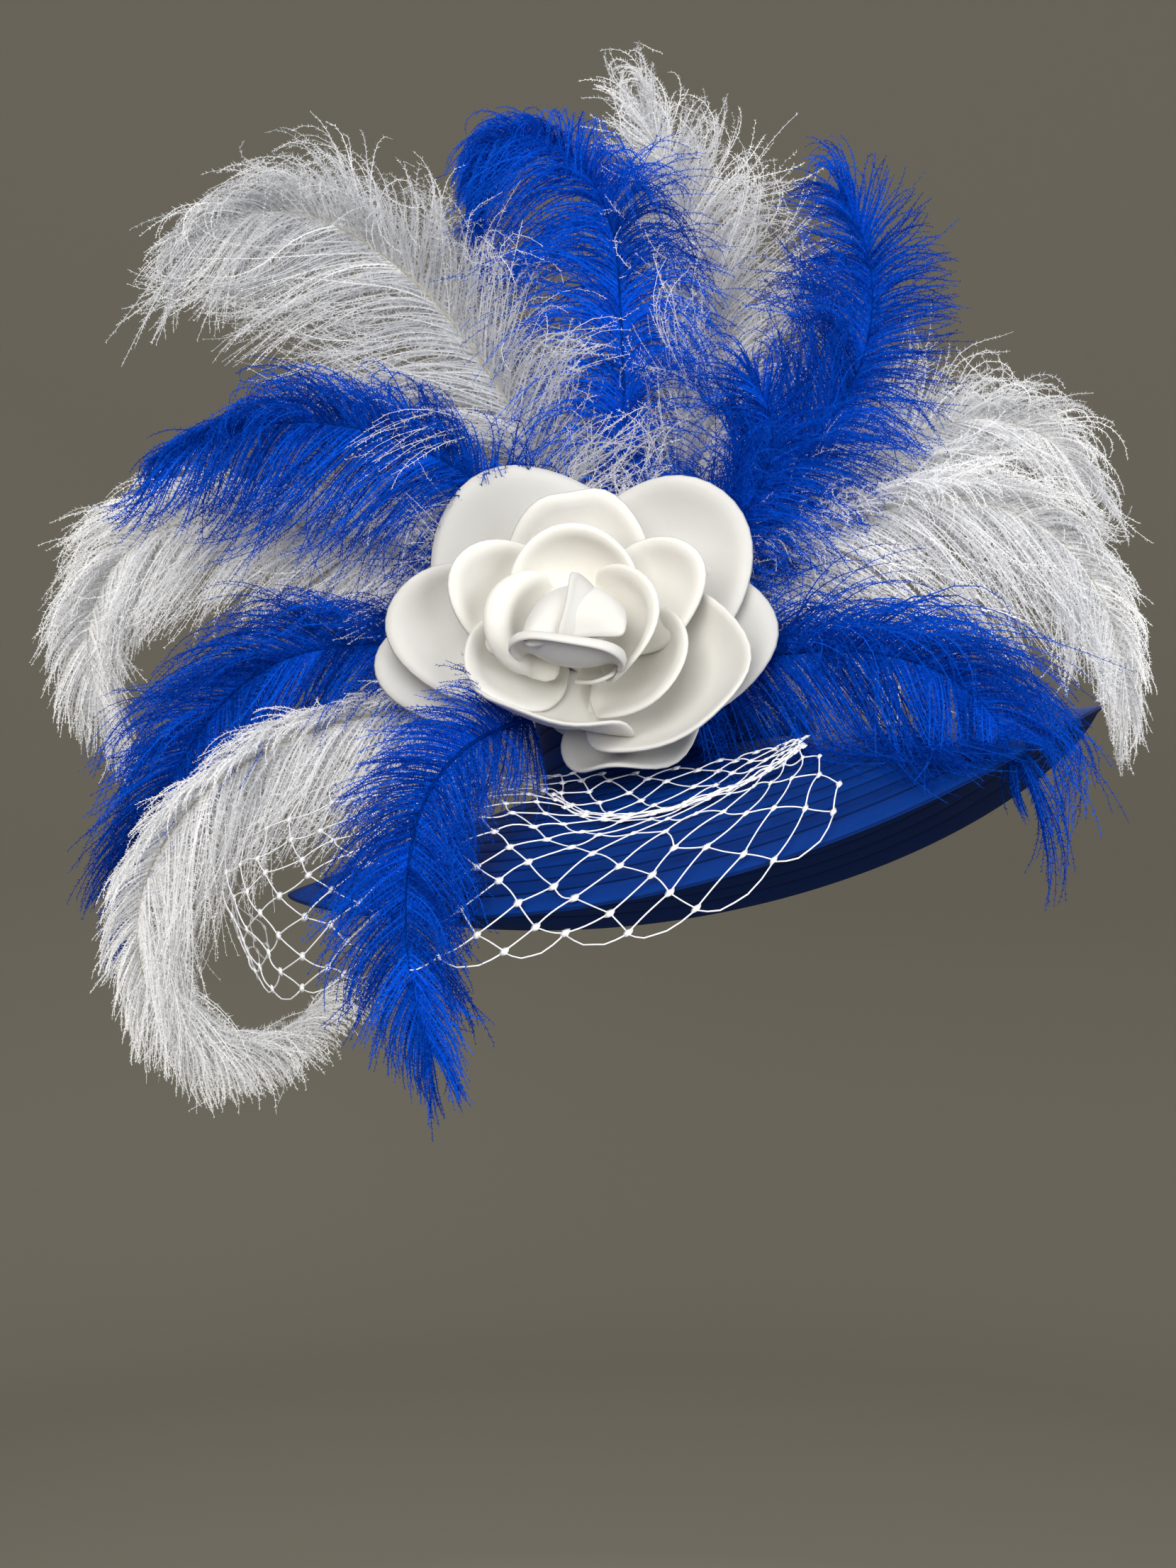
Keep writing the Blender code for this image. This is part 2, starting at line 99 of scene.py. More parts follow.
# painted shade: the colour of the rows under the brim and inside the crown
SATIN_UNDERSIDE_SHADE = (0.0, 0.011, 0.07)
# painted shade: the colour in the seams' grooves
SEAM_PAINTED_SHADE = (0.0, 0.004, 0.03)
SEAM_SHADE = 0.09  # how far the painted shade reaches from a seam, as a share of a row


def between(low, high, share):
    return low + (high - low) * share


def brim_places(angles, shares):
    """Points of the brim's upper side in the hat's frame: share 0 at the crown, 1 at the edge."""
    x = between(HEAD_HALF_WIDTH, BRIM_HALF_WIDTH, shares) * np.cos(angles)
    y = between(HEAD_HALF_LENGTH, BRIM_HALF_LENGTH, shares) * np.sin(angles)
    sweep = np.where(np.sin(angles) > 0, BACK_SWEEP, FRONT_SWEEP)
    drop = between(BRIM_SIDE_DROP, BRIM_FRONT_DROP, np.abs(np.sin(angles)) ** sweep)
    return np.stack([x, y, -drop * ((1 - BRIM_BEND) * shares + BRIM_BEND * shares**2)], axis=-1)


def crown_places(angles, shares):
    """Points of the crown's outer side in the hat's frame: share 0 at the top, 1 at the base."""
    turns = np.linspace(0, math.pi / 2, CROWN_STEPS)
    radius = np.cos(turns) ** CROWN_SIDE_POWER
    height = np.sin(turns) ** CROWN_TOP_POWER
    steps = np.hypot(np.diff(radius) * HEAD_HALF_LENGTH, np.diff(height) * CROWN_HEIGHT)
    run = np.concatenate([[0], np.cumsum(steps)])
    radius, height = (np.interp((1 - shares) * run[-1], run, row) for row in (radius, height))
    x, y = HEAD_HALF_WIDTH * radius * np.cos(angles), HEAD_HALF_LENGTH * radius * np.sin(angles)
    return np.stack([x, y, CROWN_HEIGHT * height + 0 * angles], axis=-1)


def unit(vectors):
    return vectors / np.maximum(np.linalg.norm(vectors, axis=-1, keepdims=True), 1e-12)


def mesh_piece(name, points, faces, finish, slot, *nodes):
    """A smooth mesh from arrays of points and faces, which stands for the CAD nodes."""
    mesh = bpy.data.meshes.new(name)
    mesh.vertices.add(len(points))
    mesh.vertices.foreach_set("co", np.ravel(points).astype(np.float32))
    mesh.loops.add(faces.size)
    mesh.loops.foreach_set("vertex_index", faces.ravel().astype(np.int32))
    mesh.polygons.add(len(faces))
    mesh.polygons.foreach_set("loop_start", np.arange(0, faces.size, faces.shape[1], dtype=np.int32))
    mesh.update(calc_edges=True)
    mesh.shade_smooth()
    mesh.materials.append(finish)
    piece = bpy.data.objects.new(name, mesh)
    bpy.context.scene.collection.objects.link(piece)
    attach(piece, "root")
    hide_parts(*nodes)
    return piece


def node(material, kind, settings=None, **inputs):
    """A shader node, with its settings, and its inputs set or linked by their names."""
    made = material.node_tree.nodes.new("ShaderNode" + kind)
    for name, value in (settings or {}).items():
        setattr(made, name, value)
    for name, value in inputs.items():
        socket = made.inputs[name.replace("_", " ")]
        if isinstance(value, bpy.types.NodeSocket):
            material.node_tree.links.new(value, socket)
        else:
            socket.default_value = value
    return made


def maths(material, operation, first, second):
    made = node(material, "Math", {"operation": operation})
    for socket, value in zip(made.inputs, (first, second)):
        if isinstance(value, bpy.types.NodeSocket):
            material.node_tree.links.new(value, socket)
        else:
            socket.default_value = value
    return made.outputs[0]


def noise(material, place, scale, detail=3, stretch=(1, 1, 1)):
    """Cloudy noise from 0 to 1 at a place, finer along the axes that stretch makes longer."""
    moved = node(material, "Mapping", Vector=place, Scale=stretch).outputs["Vector"]
    return node(material, "TexNoise", Vector=moved, Scale=scale, Detail=detail).outputs["Fac"]


def tinted(material, share, low, high):
    """A colour between two others."""
    mix = node(material, "Mix", {"data_type": "RGBA"})
    for socket, value in ((mix.inputs[0], share), (mix.inputs[6], low), (mix.inputs[7], high)):
        if isinstance(value, bpy.types.NodeSocket):
            material.node_tree.links.new(value, socket)
        elif isinstance(value, tuple):
            socket.default_value = (*value, 1)
        else:
            socket.default_value = value
    return mix.outputs[2]


def ranged(material, value, low, high, start=0, end=1):
    """Value remapped from low..high to start..end, and kept between them."""
    return node(
        material, "MapRange", Value=value, From_Min=low, From_Max=high, To_Min=start, To_Max=end
    ).outputs["Result"]


def finish_of(name, **inputs):
    """A material and its Principled shader, whose plain inputs are set."""
    material = bpy.data.materials.new(name)
    material.use_nodes = True
    shader = material.node_tree.nodes["Principled BSDF"]
    for key, value in inputs.items():
        shader.inputs[key.replace("_", " ")].default_value = value
    return material, shader


def satin_braid():
    """Blue satin: fine threads along each row, a tone of its own for each row, and painted shade in the seams
    and on the rows under the brim and inside the crown.
    """
    material, shader = finish_of("satin_braid", Roughness=0.5, Specular_IOR_Level=0.06)
    link = material.node_tree.links.new
    rows = node(material, "UVMap", {"uv_map": "rows"}).outputs["UV"]
    over = node(material, "SeparateXYZ", Vector=rows)
    row = maths(material, "FLOOR", over.outputs["Y"], 0)
    across = maths(material, "FRACT", over.outputs["Y"], 0)
    shade = node(material, "TexWhiteNoise", {"noise_dimensions": "1D"}, W=row).outputs["Value"]
    threads = noise(material, rows, 14, 4, (3, 22, 1))
    patches = noise(material, rows, 1.3, 2, (5, 1, 1))
    by_row = maths(material, "MULTIPLY", shade, 0.45)
    tone = maths(material, "ADD", by_row, maths(material, "MULTIPLY", patches, 0.55))
    satin = tinted(material, tone, SATIN_DARK, SATIN_LIGHT)
    # painted shade on the rows under the brim and inside the crown
    shaded_side = maths(material, "GREATER_THAN", over.outputs["Y"], SHADED_SIDE_ROWS)
    satin = tinted(material, shaded_side, satin, SATIN_UNDERSIDE_SHADE)
    # painted shade, darkest in each seam's groove
    painted_seam_shade = ranged(material, maths(material, "PINGPONG", across, 0.5), 0.0, SEAM_SHADE)
    link(tinted(material, painted_seam_shade, SEAM_PAINTED_SHADE, satin), shader.inputs["Base Color"])
    link(
        node(material, "Bump", Strength=0.35, Distance=0.0004, Height=threads).outputs["Normal"],
        shader.inputs["Normal"],
    )
    return material


def braid_piece(name, places, edges, finish, closed_top):
    """A wall of sewn rows; edges are the seams, as shares of the way from the crown's top outwards."""
    angles = np.linspace(0, 2 * math.pi, BRAID_STEPS, endpoint=False)
    rows = [
        (k + point.over, between(start, end, point.over), -point.depth * SEAM_DEPTH)
        for k, (start, end) in enumerate(zip(edges, edges[1:]))
        for point in RIBBON
    ]
    rows.append((len(edges) - 1, edges[-1], -SEAM_DEPTH))
    counts, shares, lifts = (np.array(column, float) for column in zip(*rows))
    side = places(angles[None, :], shares[:, None])
    around = np.roll(side, -1, axis=1) - np.roll(side, 1, axis=1)
    normal = unit(np.cross(np.gradient(side, axis=0), around))
    outer = side + normal * lifts[:, None, None]
    inner = side - normal * (BRAID_WALL + SEAM_DEPTH + lifts[:, None, None])
    rings = np.concatenate([outer, inner[::-1]])
    # the inner side's rows are numbered apart, so that they can be painted darker as shade
    counts = np.concatenate([counts, counts[::-1] + SHADED_SIDE_ROWS])
    total = len(rings)
    k, i = np.meshgrid(np.arange(total - (1 if closed_top else 0)), np.arange(BRAID_STEPS), indexing="ij")
    j, n = (k + 1) % total, (i + 1) % BRAID_STEPS
    quads = np.stack([k * BRAID_STEPS + i, j * BRAID_STEPS + i, j * BRAID_STEPS + n, k * BRAID_STEPS + n], -1)
    faces = np.concatenate([quads[..., (0, 1, 2)].reshape(-1, 3), quads[..., (0, 2, 3)].reshape(-1, 3)])
    u = np.stack([i, i, i + 1, i + 1], -1) / BRAID_STEPS
    v = np.stack([counts[k], counts[j], counts[j], counts[k]], -1)
    uv = np.stack([u, v], -1)
    uv = np.concatenate([uv[..., (0, 1, 2), :].reshape(-1, 2), uv[..., (0, 2, 3), :].reshape(-1, 2)])
    points = rings.reshape(-1, 3)
    if closed_top:
        ring = np.arange(BRAID_STEPS)
        after = np.roll(ring, -1)
        last = (total - 1) * BRAID_STEPS
        middles = np.array([rings[0].mean(axis=0), rings[-1].mean(axis=0)])
        caps = [
            np.stack([after, ring, 0 * ring + len(points)], -1),
            np.stack([last + ring, last + after, 0 * ring + len(points) + 1], -1),
        ]
        points = np.concatenate([points, middles])
        faces = np.concatenate([faces, *caps])
        uv = np.concatenate([uv, np.zeros((2 * 3 * BRAID_STEPS, 2))])
    piece = mesh_piece(name, points @ WORN.T, faces, finish, "braid", name.split("_")[0])
    piece.data.uv_layers.new(name="rows").data.foreach_set("uv", uv.ravel().astype(np.float32))
    return piece


braid = satin_braid()
brim_rows = BRIM_ROWS - 1 + EDGE_ROW
brim_edges = np.append(np.arange(BRIM_ROWS), brim_rows) / brim_rows
brim_edges[0] = -BRIM_TUCK
braid_piece("brim_braid", brim_places, brim_edges, braid, False)
braid_piece("crown_braid", crown_places, np.linspace(CROWN_START, 1, CROWN_ROWS + 1), braid, True)

# The felt block
# A turned block of white felt behind the flower, which the quills and the petals are set into. It is
# sewn to the front of the crown.
FELT_DARK = (0.62, 0.62, 0.60)
FELT_LIGHT = (0.85, 0.85, 0.83)
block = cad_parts["trim_block"]
felt, felt_shader = finish_of("white_felt", Roughness=0.95, Sheen_Weight=0.3)
felt_place = node(felt, "TexCoord").outputs["Object"]
felt_hairs = noise(felt, felt_place, 900, 5)
felt.node_tree.links.new(tinted(felt, felt_hairs, FELT_DARK, FELT_LIGHT), felt_shader.inputs["Base Color"])
felt.node_tree.links.new(
    node(felt, "Bump", Strength=0.5, Distance=0.0006, Height=felt_hairs).outputs["Normal"],
    felt_shader.inputs["Normal"],
)
for slot in block.material_slots:
    slot.material = felt

# The flower
# Twenty petals cut from 2 mm sheet foam, warm white, shaped over heat so that each is cupped and its
# edge rolls softly back. They are set round a short cone on the block, from the brim side to the heart.
# The petals are painted from a grey shade to a lit cream: the low outer petals are painted in shade, the bud
# is painted darker where it stands out in the light, and each petal is lighter and creamier towards its root.
BLOCK_PLACE = Vector((-55, -101, 55)) * MM
FLOWER_UP = math.radians(18)
FLOWER_TURN = math.radians(-6)
CORE_RADIUS = 12 * MM
CORE_TIP_RADIUS = 5 * MM
CORE_HEIGHT = 54 * MM
FLOWER = np.array(
    Matrix.Translation(BLOCK_PLACE)
    @ Matrix.Rotation(FLOWER_TURN, 4, "Z")
    @ Matrix.Rotation(math.pi / 2 - FLOWER_UP, 4, "X")
)
# angle runs anticlockwise from the viewer's right, height is where the root meets the cone, open_root
# and open_tip are degrees from the flower's axis, wrap is the radius of the sideways curve, cup how
# deep the middle is, roll how many degrees the last span of the sheet turns back, wave how far the rim
# strays and dent the notch at the tip as a share of the length. The other sizes are in mm.
Petal = namedtuple("Petal", "node angle height open_root open_tip length width wrap cup roll span wave dent")
PETALS = (
    Petal("petal_outer_low", 304, 2.6, 87, 40, 74, 78, 90, 2, 10, 8, 4, 0),
    Petal("petal_outer_low_left", 184, 5.0, 86, 74, 97, 72, 60, 5, 40, 9, 2, 0),
    Petal("petal_outer_right", 8, 6.6, 83, 72, 88, 92, 70, 5, 30, 9, 2, 0),
    Petal("petal_outer_top_left", 119, 7.0, 84, 76, 105, 114, 110, 9, 50, 10, 3.4, 0),
    Petal("petal_outer_top_right", 49, 11.2, 81, 68, 98, 104, 90, 9, 40, 10, 2.6, 0),
    Petal("petal_outer_left", 169, 11.0, 80, 68, 94, 84, 60, 6, 45, 9, 3, 0),
    Petal("petal_outer_low_right", 333, 16.0, 78, 42, 90, 104, 62, 7, 14, 8, 3, 0),
    Petal("petal_outer_front", 250, 13.4, 80, 4, 64, 92, 150, 3, 5, 6, 4, 0),
    Petal("petal_middle_top", 95, 19.4, 76, 52, 76, 84, 56, 7, 50, 9, 2, 0.06),
    Petal("petal_middle_right", 33, 24.0, 71, 48, 68, 60, 44, 6, 50, 8, 1, 0),
    Petal("petal_middle_left", 150, 24.4, 72, 48, 70, 66, 44, 7, 55, 9, 1, 0),
    Petal("petal_middle_low_right", 334, 18.6, 74, 26, 58, 74, 50, 4, 40, 9, 1, 0),
    Petal("petal_middle_low_left", 200, 17.6, 73, 34, 58, 62, 44, 4, 40, 9, 1, 0),
    Petal("petal_inner_top", 99, 29.0, 66, 26, 54, 80, 40, 6, 50, 9, 0.5, 0),
    Petal("petal_inner_right", 8, 33.0, 62, 16, 46, 74, 34, 3, 45, 10, 0.5, 0),
    Petal("petal_inner_left", 170, 33.6, 62, 8, 46, 84, 34, 3, 110, 20, 1, 0),
    Petal("petal_inner_low", 294, 26.0, 62, 14, 36, 24, 20, 1, 20, 4, 0.5, 0),
    Petal("petal_heart_top", 96, 40.0, 54, -124, 60, 66, 26, 2, 20, 6, 0.5, 0),
    Petal("petal_heart_low", 262, 38.6, 58, -46, 54, 76, 48, 2, 112, 13, 1, 0),
    Petal("petal_heart_right", 350, 44.0, 50, -84, 44, 48, 20, 1, 40, 6, 0.5, 0),
)
PETAL_WALL = 2.0 * MM
PETAL_MIDDLE = 0.56  # the share of the length that the rings of points centre on
PETAL_NECK = 0.45  # how much narrower a petal is at its root than an oval
PETAL_FULL = 0.915  # how wide such an outline gets, as a share of the oval
PETAL_FREE = (0.12, 0.4)  # the shares of the length between which the rim comes free of its neighbours
DENT_SPREAD = 0.3  # how far round the rim the notch reaches, in radians
RIM_STRAY = 0.6  # how much the rim strays along the sheet, as a share of how much it strays out of it
LEAST_ROLL = 0.001  # keeps a flat petal's roll from being divided by nothing
MOST_TURN = 1.9  # how far a petal may wrap round to a side, in radians
PETAL_RINGS = 11
PETAL_SPOKES = 48
FOAM_GAP = 0.3 * MM
BUD_HEIGHT = 30  # the petals are painted lightest and creamiest at this height, in mm: lower ones are painted in shade, and the bud above is painted darker because it stands out in the light
CREAM_HEIGHT = 45  # the height in mm at which a petal would be painted all lit cream
CREAM_ROOT = 0.5  # how much creamier and lighter a petal is painted at its root than at its tip
# painted shade and lit cream, the two ends of the petals' colour
FOAM_PAINTED_SHADE = (0.47, 0.47, 0.46)
FOAM_LIT_CREAM = (0.88, 0.855, 0.79)


def eased(values, start, end):
    """0 before start and 1 after end, with a soft step between them."""
    share = np.clip((values - start) / (end - start), 0, 1)
    return share * share * (3 - 2 * share)


def petal_sheet(petal, random):
    """Rings of points of the petal's middle sheet in the flower's frame, the last one its rim."""
    turns = np.arange(PETAL_SPOKES) * 2 * math.pi / PETAL_SPOKES
    rim_along = (1 - np.cos(turns)) / 2
    neck = 1 - PETAL_NECK * (1 - rim_along) ** 2
    rim_side = petal.width * MM / 2 * np.sin(turns) * neck / PETAL_FULL
    rim_along = rim_along - petal.dent * np.exp(-(((turns - math.pi) / DENT_SPREAD) ** 2))
    free = eased(rim_along, *PETAL_FREE)
    phases = random.uniform(0, 2 * math.pi, 3)
    stray = petal.wave * MM * free
    size = (petal.length + petal.width) * MM / 4
    scale = 1 + RIM_STRAY * stray / size * np.sin(2 * turns + phases[0])
    share = np.linspace(0, 1, PETAL_RINGS + 1)[:, None]
    flat = 1 - petal.span * MM / size
    roll = math.radians(petal.roll) * free + LEAST_ROLL
    swing = roll * np.clip((share - flat) / (1 - flat), 0, 1)
    over = (np.minimum(share, flat) + (1 - flat) * np.sin(swing) / roll) * scale
    back = (1 - flat) * size * (1 - np.cos(swing)) / roll + petal.cup * MM * (1 - share**2)
    back = back + stray * share**2 * (np.sin(3 * turns + phases[1]) + 0.5 * np.sin(5 * turns + phases[2]))
    along = PETAL_MIDDLE + over * (rim_along - PETAL_MIDDLE)
    root, tip = math.radians(petal.open_root), math.radians(petal.open_tip)
    opened = between(root, tip, along)
    reach = petal.length * MM / (tip - root)
    radius = between(CORE_RADIUS, CORE_TIP_RADIUS, petal.height * MM / CORE_HEIGHT) + FOAM_GAP
    radius = radius + PETAL_WALL / 2 * math.cos(root)
    radius = radius + reach * (math.cos(root) - np.cos(opened)) + back * np.cos(opened)
    height = petal.height * MM + reach * (np.sin(opened) - math.sin(root)) - back * np.sin(opened)
    wrap = petal.wrap * MM
    turn = np.clip(over * rim_side / wrap, -MOST_TURN, MOST_TURN)
    outwards, sideways = radius - wrap * (1 - np.cos(turn)), wrap * np.sin(turn)
    angle = math.radians(petal.angle)
    x = outwards * math.cos(angle) - sideways * math.sin(angle)
    y = outwards * math.sin(angle) + sideways * math.cos(angle)
    return np.stack([x, y, height], axis=-1), along


def petal_mesh(sheet):
    """The sheet with its two faces and a rounded rim, as points and triangles."""
    ahead = np.gradient(sheet, axis=0)
    around = np.roll(sheet, -1, axis=1) - np.roll(sheet, 1, axis=1)
    around[0] = around[1]
    ahead[0] = ahead[1]
    normal = unit(np.cross(ahead, around)) * PETAL_WALL / 2
    normal[0] = normal[0].mean(axis=0)
    rim = sheet[-1:] + unit(ahead[-1:]) * PETAL_WALL / 2
    rings = np.concatenate([sheet + normal, rim, (sheet - normal)[::-1]])
    k, i = np.meshgrid(np.arange(len(rings) - 1), np.arange(PETAL_SPOKES), indexing="ij")
    n = (i + 1) % PETAL_SPOKES
    low, high = k * PETAL_SPOKES, (k + 1) * PETAL_SPOKES
    left = np.stack([low + i, high + i, high + n], axis=-1)[:-1]
    right = np.stack([low + i, high + n, low + n], axis=-1)[1:]
    return rings.reshape(-1, 3), np.concatenate([left.reshape(-1, 3), right.reshape(-1, 3)])


def white_foam():
    """Soft foam with a fine skin, painted from a grey shade to a lit cream by each petal's height and towards
    its root.
    """
    material, shader = finish_of(
        "white_foam",
        Roughness=0.6,
        Specular_IOR_Level=0.35,
        Subsurface_Weight=0.15,
        Subsurface_Radius=(1.0, 0.85, 0.7),
        Subsurface_Scale=0.004,
    )
    link = material.node_tree.links.new
    heart = node(material, "Attribute", {"attribute_name": "heart"}).outputs["Fac"]
    link(tinted(material, heart, FOAM_PAINTED_SHADE, FOAM_LIT_CREAM), shader.inputs["Base Color"])
    place = node(material, "TexCoord").outputs["Object"]
    dimples = maths(material, "MULTIPLY", noise(material, place, 60, 2), 6)
    skin = maths(material, "ADD", noise(material, place, 1600, 4), dimples)
    link(
        node(material, "Bump", Strength=0.12, Distance=0.0006, Height=skin).outputs["Normal"],
        shader.inputs["Normal"],
    )
    return material


foam = white_foam()
foam_random = np.random.default_rng(7)
for petal in PETALS:
    sheet, along = petal_sheet(petal, foam_random)
    points, faces = petal_mesh(sheet @ FLOWER[:3, :3].T + FLOWER[:3, 3])
    piece = mesh_piece(petal.node.replace("petal", "foam"), points, faces, foam, "foam", petal.node)
    out = np.clip(np.concatenate([along, along[-1:], along[::-1]]), 0, 1)
    # painted light and shade: lighter with height up to the bud, darker on the bud above it, and lighter and
    # creamier towards the root
    deep = min(petal.height, BUD_HEIGHT + 1.5 * (BUD_HEIGHT - petal.height)) / CREAM_HEIGHT
    lit_cream = deep + CREAM_ROOT * (1 - out) ** 2
    heart = piece.data.attributes.new("heart", "FLOAT", "POINT")
    heart.data.foreach_set("value", np.clip(lit_cream, 0, 1).ravel().astype(np.float32))

# The plumes
# Thirteen ostrich plumes, seven dyed royal blue and six bleached white. Each has a tapered quill with
# hundreds of long limp barbs down both sides, and each barb is a fringe of finer hairs. The quills'
# ends are bound and set round the rim of the block, and the plumes curl over under their own weight.
BLOCK_RADIUS = 31 * MM
QUILL_HALF = 1.5 * MM
BARE_QUILL = 0.06  # the share of the quill that carries no barbs
BARB_SWEEP = math.radians(52)
ROOT_SWEEP = math.radians(76)  # the lowest barbs spread wider than the rest
BARB_TURN = 0.35  # how far the barbs turn towards the quill's tip
TIP_SWEEP = math.radians(16)  # and the last ones close up
FIRST_BARBS = 0.8  # how long the lowest barbs are, as a share of the full length
FULL_BY = 0.45  # the shares of the quill by which the barbs have their full length and their full sweep
SWEPT_BY = 0.25
SHORTER = (0.55, 0.98)  # where the barbs get shorter towards the tip
CLOSING = 0.84  # where they start to close up
# ring is where the quill enters the block and back how far behind its front face. headings are the
# quill's directions in the front view at equal steps from root to tip, anticlockwise from the viewer's
# right, and leans how far it comes towards the viewer, in degrees.
Plume = namedtuple("Plume", "node ring back headings leans length")
PLUMES = (
    Plume("plume_blue_top", 80, 6, (80, 84, 92, 99, 156, 286), (-22, -10, 10), 372),
    Plume("plume_white_top_left", 106, 3, (102, 106, 121, 134, 160, 216), (-18, -10, 3), 358),
    Plume("plume_blue_left_high", 120, 5, (112, 121, 149, 167, 188, 206), (-5, -2, 5), 262),
    Plume("plume_white_left", 156, 5, (140, 150, 166, 186, 246, 300), (-22, -16, -4), 382),
    Plume("plume_blue_left_low", 182, 3, (168, 170, 192, 226, 246, 262), (-16, -10, -4), 306),
    Plume("plume_white_low_left", 206, 5, (186, 190, 214, 254, 318, 412), (-8, -4, 4), 420),
    Plume("plume_blue_low_front", 234, 3, (194, 208, 240, 264, 276, 290), (49, 38, -4), 232),
    Plume("plume_white_top", 62, 3, (60, 64, 74, 94, 112, 112), (-28, -18, 2), 336),
    Plume("plume_blue_top_right", 42, 6, (46, 46, 48, 60, 90, 122), (-10, -8, 4), 292),
    Plume("plume_blue_short", 54, 5, (38, 40, 46, 60, 90, 130), (0, 2, 10), 160),
    Plume("plume_white_right_high", 26, 3, (38, 38, 39, 36, -6, -60), (-26, -16, 0), 326),
    Plume("plume_white_right_low", 12, 6, (38, 36, 22, -12, -58, -84), (-14, -2, 2), 350),
    Plume("plume_blue_right_low", -12, 4, (14, 10, 1, -14, -42, -74), (8, 26, 14), 214),
)
# left and right are the barbs' lengths on the two sides as the plume grows, and ends how long the last
# ones of each side are, as shares of those. droop is how limp the barbs are, fold tips both webs
# towards the viewer, loose is how far the barbs stray, curl how far their ends turn, in degrees, and
# tone how light they are painted, from 0 to 1; a low tone also paints shade on a plume that lies in
# shade, as on the white one at the top left.
Web = namedtuple("Web", "node left right ends droop fold loose curl tone")
WEBS = (
    Web("plume_blue_top", 96, 78, (0.7, 0.3), 1.7, 10, 0.4, 10, 0.55),
    # painted shade: this plume's low tone darkens it because it lies in shade
    Web("plume_white_top_left", 116, 84, (0.6, 0.6), 0.9, 8, 0.7, 80, 0.25),
    Web("plume_blue_left_high", 98, 66, (0.6, 0.45), 1.2, 12, 1.5, 40, 0.4),
    Web("plume_white_left", 76, 68, (0.6, 0.6), 1.0, 12, 0.8, 20, 0.75),
    Web("plume_blue_left_low", 80, 82, (0.6, 0.6), 0.8, 12, 1.3, 30, 0.4),
    Web("plume_white_low_left", 92, 40, (0.55, 0.6), 0.9, 12, 0.7, 20, 0.8),
    Web("plume_blue_low_front", 62, 62, (0.6, 0.6), 0.4, 8, 0.8, 10, 0.5),
    Web("plume_white_top", 80, 92, (0.6, 0.6), 0.7, 10, 1.7, 100, 0.5),
    Web("plume_blue_top_right", 88, 60, (0.5, 0.7), 0.9, 12, 1.0, 30, 0.45),
    Web("plume_blue_short", 78, 72, (0.6, 0.6), 0.8, 14, 2.2, 70, 0.45),
    Web("plume_white_right_high", 70, 74, (0.7, 0.7), 0.7, 12, 2.2, 90, 0.6),
    Web("plume_white_right_low", 48, 96, (0.7, 0.5), 1.0, 12, 1.1, 30, 0.7),
    Web("plume_blue_right_low", 104, 118, (0.7, 0.3), 1.3, 6, 1.4, 40, 0.45),
)
QUILL_STEPS = 120
QUILL_SIDES = 6
LAYERS = (-6, 22)  # degrees that each layer of barbs is folded towards the viewer
BARB_SPACING = 1.22 * MM
BARB_STEPS = 9
BARB_HALF = 0.6 * MM
BARB_STRAY = 0.05  # the share of the barbs of a loose plume that stray on their own
DRIFT_LENGTH = 14  # mm of quill along which the barbs vary alike
TONE_KNOTS = 24  # how many times the tone varies along a plume
LIMPNESS = 1.6  # how far down a barb's end bends for a droop of 1, against its own way
CURL_START = 0.45  # where along a barb its end starts to curl
CLING = 0.75  # the most that the end of a barb clings to its tuft's
TUFT = 6  # barbs that cling together, on average
PRESSED_BACK = -2 * MM  # how high over the flower's back its petals let the barbs come, at the middle
PRESSED_SLOPE = 0.1  # how much higher for each step outwards from the middle
PRESSED_REACH = (98 * MM, 118 * MM)  # how far out the petals press, and where the barbs are free again
FRONT_REACH = (44 * MM, 60 * MM)  # of the petals that stand up at the flower's low front
BRIM_START = 0.37  # where the brim starts, as a share of the way from the head's middle to its edge
BRIM_CLEAR = 2 * MM  # how high the barbs lie over the brim
PILE = 0.1  # how much higher those lie that would have hung lower
SLIDE = 1.1  # how far those slide down the brim, to its front more than to its sides
SLIDE_WAY = (-0.4, -3)
CLEAR_SIDE = (0.82, -0.57)  # towards the low right, where the barbs hang clear of the petals
CLEAR_REACH = (82 * MM, 100 * MM)  # from how far out they do
HAIRS = 22  # fine hairs along each side of a barb
HAIR_LENGTH = 6 * MM
HAIR_BASE = 0.65 * MM
FULL_HAIRS = 60 * MM  # barbs of this length and more have hairs of the full length


def smooth_through(values, shares):
    """Values at shares of an evenly spaced row, on a smooth curve through all of them."""
    values = np.asarray(values, float)
    place = np.clip(shares, 0, 1) * (len(values) - 1)
    k = np.minimum(place.astype(int), len(values) - 2)
    t = place - k
    before, low, high, after = (values[np.clip(k + i, 0, len(values) - 1)] for i in (-1, 0, 1, 2))
    bend = 2 * before - 5 * low + 4 * high - after
    twist = 3 * (low - high) + after - before
    return low + 0.5 * t * (high - before + t * (bend + t * twist))


def drift(random, shares, knots):
    """Smooth random values with a mean of 0 that barbs near each other share."""
    return smooth_through(random.normal(0, 1, knots), shares)


def quill_directions(plume, shares):
    turn = np.radians(smooth_through(plume.headings, shares))
    lean = np.radians(smooth_through(plume.leans, shares))
    return np.stack([np.cos(lean) * np.cos(turn), -np.sin(lean), np.cos(lean) * np.sin(turn)], axis=-1)


def quill_sides(along):
    """The directions across the quill and out of its front."""
    across = unit(np.cross((0, -1, 0), along))
    return across, unit(np.cross(along, across))


